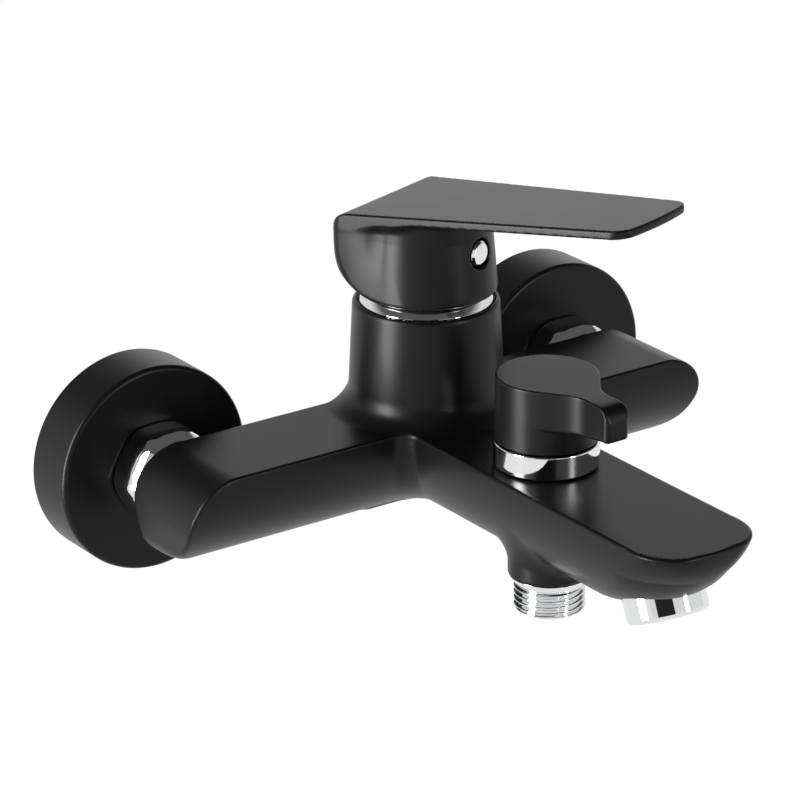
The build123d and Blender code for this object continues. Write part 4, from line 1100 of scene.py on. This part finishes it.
# ---------------------------------------------------------------------------
# Stage
# ---------------------------------------------------------------------------
@dataclass(frozen=True)
class Lamp:
    """A rectangular soft light aimed at a point, in metres and watts."""

    name: str
    place: tuple[float, float, float]
    aim: tuple[float, float, float]
    size: tuple[float, float]
    power: float

    def add(self) -> None:
        """Put the lamp in the scene."""
        data = bpy.data.lights.new(self.name, "AREA")
        data.shape = "RECTANGLE"
        data.size, data.size_y = self.size
        data.energy = self.power
        lamp = bpy.data.objects.new(self.name, data)
        lamp.visible_camera = False
        way = Vector(self.aim) - Vector(self.place)
        turn = way.to_track_quat("-Z", "Y").to_matrix().to_4x4()
        lamp.matrix_world = Matrix.Translation(self.place) @ turn
        bpy.context.scene.collection.objects.link(lamp)


LAMPS = (
    Lamp("left_box", (-1.15, 0.05, 0.12), (0, -0.08, 0.03), (0.40, 1.2), 36.0),
    Lamp("right_box", (0.45, -1.35, 0.30), (0, -0.08, 0.02), (0.22, 0.8), 5.0),
    Lamp("back_box", (0.80, 1.15, 0.42), (0, -0.08, 0.03), (1.5, 0.75), 2.0),
)


@dataclass(frozen=True)
class Studio:
    """Camera, light and floor."""

    eye: tuple[float, float, float] = (-0.65674, -0.96642, 0.47579)
    lens: float = 183.08
    right: tuple[float, float, float] = (0.8168, -0.5769, 0.0)
    back: tuple[float, float, float] = (-0.5353, -0.7579, 0.3728)
    roll: float = math.radians(-0.2)
    tones: tuple[tuple[float, float], ...] = (
        (0.40, 0.55), (0.49, 0.80), (0.66, 0.80), (0.75, 0.10))
    floor_z: float = -0.42
    floor_half: float = 12.0

    def build(self) -> None:
        """Add the stage to the scene."""
        self._camera()
        self._world()
        for lamp in LAMPS:
            lamp.add()
        self._floor()

    def _camera(self) -> None:
        """Long lens, three-quarter view from the left and a little above."""
        data = bpy.data.cameras.new("camera")
        data.sensor_width, data.lens = 36.0, self.lens
        data.clip_start, data.clip_end = 0.05, 20.0
        camera = bpy.data.objects.new("camera", data)
        right, back = Vector(self.right).normalized(), Vector(self.back).normalized()
        up = back.cross(right)
        c, s = math.cos(self.roll), math.sin(self.roll)
        right, up = right * c + up * s, up * c - right * s
        turn = Matrix((right, up, back)).transposed().to_4x4()
        camera.matrix_world = Matrix.Translation(self.eye) @ turn
        bpy.context.scene.collection.objects.link(camera)
        bpy.context.scene.camera = camera

    def _world(self) -> None:
        """Room with a bright band above the horizon and a dark top, plain white to the camera."""
        world = bpy.data.worlds.new("room")
        bpy.context.scene.world = world
        world.use_nodes = True
        nodes, links = world.node_tree.nodes, world.node_tree.links
        nodes.clear()
        place = nodes.new("ShaderNodeTexCoord")
        split = nodes.new("ShaderNodeSeparateXYZ")
        ramp = nodes.new("ShaderNodeValToRGB")
        fit = nodes.new("ShaderNodeMapRange")
        fit.inputs["From Min"].default_value = -1.0
        shade = nodes.new("ShaderNodeBackground")
        leave = nodes.new("ShaderNodeOutputWorld")
        stops = ramp.color_ramp.elements
        stops[0].position, stops[0].color = 0.0, (0.30, 0.30, 0.30, 1)
        stops[1].position, stops[1].color = 1.0, (0.10, 0.10, 0.10, 1)
        for spot, tone in self.tones:
            stop = stops.new(spot)
            stop.color = (tone, tone, tone, 1)
        links.new(place.outputs["Generated"], split.inputs["Vector"])
        links.new(split.outputs["Z"], fit.inputs["Value"])
        links.new(fit.outputs["Result"], ramp.inputs["Fac"])
        links.new(ramp.outputs["Color"], shade.inputs["Color"])
        plain = nodes.new("ShaderNodeBackground")
        plain.inputs["Color"].default_value = (1, 1, 1, 1)
        path, mix = nodes.new("ShaderNodeLightPath"), nodes.new("ShaderNodeMixShader")
        links.new(path.outputs["Is Camera Ray"], mix.inputs["Fac"])
        links.new(shade.outputs["Background"], mix.inputs[1])
        links.new(plain.outputs["Background"], mix.inputs[2])
        links.new(mix.outputs["Shader"], leave.inputs["Surface"])

    def _floor(self) -> None:
        """Wide white floor below the faucet, and a dark flag round the camera."""
        half, z = self.floor_half, self.floor_z
        corners = [(-half, -half, z), (half, -half, z), (half, half, z), (-half, half, z)]
        self._card("floor", corners, 0.92)
        ahead, across = Vector((-0.577, -0.817, 0)), Vector((0.817, -0.577, 0))
        foot = [ahead * 1.1 + across * side + Vector((0, 0, h))
                for side, h in ((-0.42, 0.05), (0.42, 0.05), (0.42, 0.95), (-0.42, 0.95))]
        flag = self._card("flag", [tuple(v) for v in foot], 0.02)
        flag.visible_camera = False

    @staticmethod
    def _card(name: str, corners: list[tuple[float, float, float]],
              glow: float) -> bpy.types.Object:
        """Flat card that is plain white to the camera and glows evenly onto the faucet.

        Args:
            name: Name of the card.
            corners: Its four corners in metres.
            glow: Light it gives to every ray but the camera's.

        Returns:
            The card.
        """
        mesh = bpy.data.meshes.new(name)
        mesh.from_pydata(corners, [], [(0, 1, 2, 3)])
        card = bpy.data.objects.new(name, mesh)
        bpy.context.scene.collection.objects.link(card)
        material = bpy.data.materials.new(f"{name}_card")
        material.use_nodes = True
        nodes, links = material.node_tree.nodes, material.node_tree.links
        leave = nodes["Material Output"]
        nodes.remove(nodes["Principled BSDF"])
        dim, plain = nodes.new("ShaderNodeEmission"), nodes.new("ShaderNodeEmission")
        dim.inputs["Strength"].default_value = glow
        path, mix = nodes.new("ShaderNodeLightPath"), nodes.new("ShaderNodeMixShader")
        links.new(path.outputs["Is Camera Ray"], mix.inputs["Fac"])
        links.new(dim.outputs["Emission"], mix.inputs[1])
        links.new(plain.outputs["Emission"], mix.inputs[2])
        links.new(mix.outputs["Shader"], leave.inputs["Surface"])
        mesh.materials.append(material)
        card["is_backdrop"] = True
        return card


# ---------------------------------------------------------------------------
# Scene
# ---------------------------------------------------------------------------
class FaucetScene:
    """The whole scene: frame, finishes, pieces and stage."""

    def __init__(self) -> None:
        """Load the frame and measure it."""
        self.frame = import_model()
        self.start = [list(v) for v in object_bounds()]
        self.at = Layout.read()
        self.kit = MaterialKit()

    def build(self) -> None:
        """Make everything."""
        for finish in FINISHES:
            self.kit.make(finish)
        self._dress_nodes()
        groups: list[Assembly] = [BodyGroup(self.at), LeverGroup(self.at), DiverterGroup(self.at),
                                  WallGroup(self.at, "left"), WallGroup(self.at, "right"),
                                  OutletGroup(self.at)]
        for group in groups:
            for part in group.parts():
                part.create(self.kit)
        Studio().build()
        bpy.context.scene.view_settings.view_transform = "Standard"
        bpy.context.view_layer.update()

    def _dress_nodes(self) -> None:
        """Give every CAD node the finish of its slot."""
        for entry in self.frame["record"]["subparts"]:
            node = self.frame["nodes"][entry["node"]]
            node.data.materials.clear()
            node.data.materials.append(self.kit.made[Slot(entry["material_slot"])])


def main() -> None:
    """Build the scene."""
    logging.basicConfig(level=logging.INFO)
    FaucetScene().build()


if __name__ == "__main__":
    main()
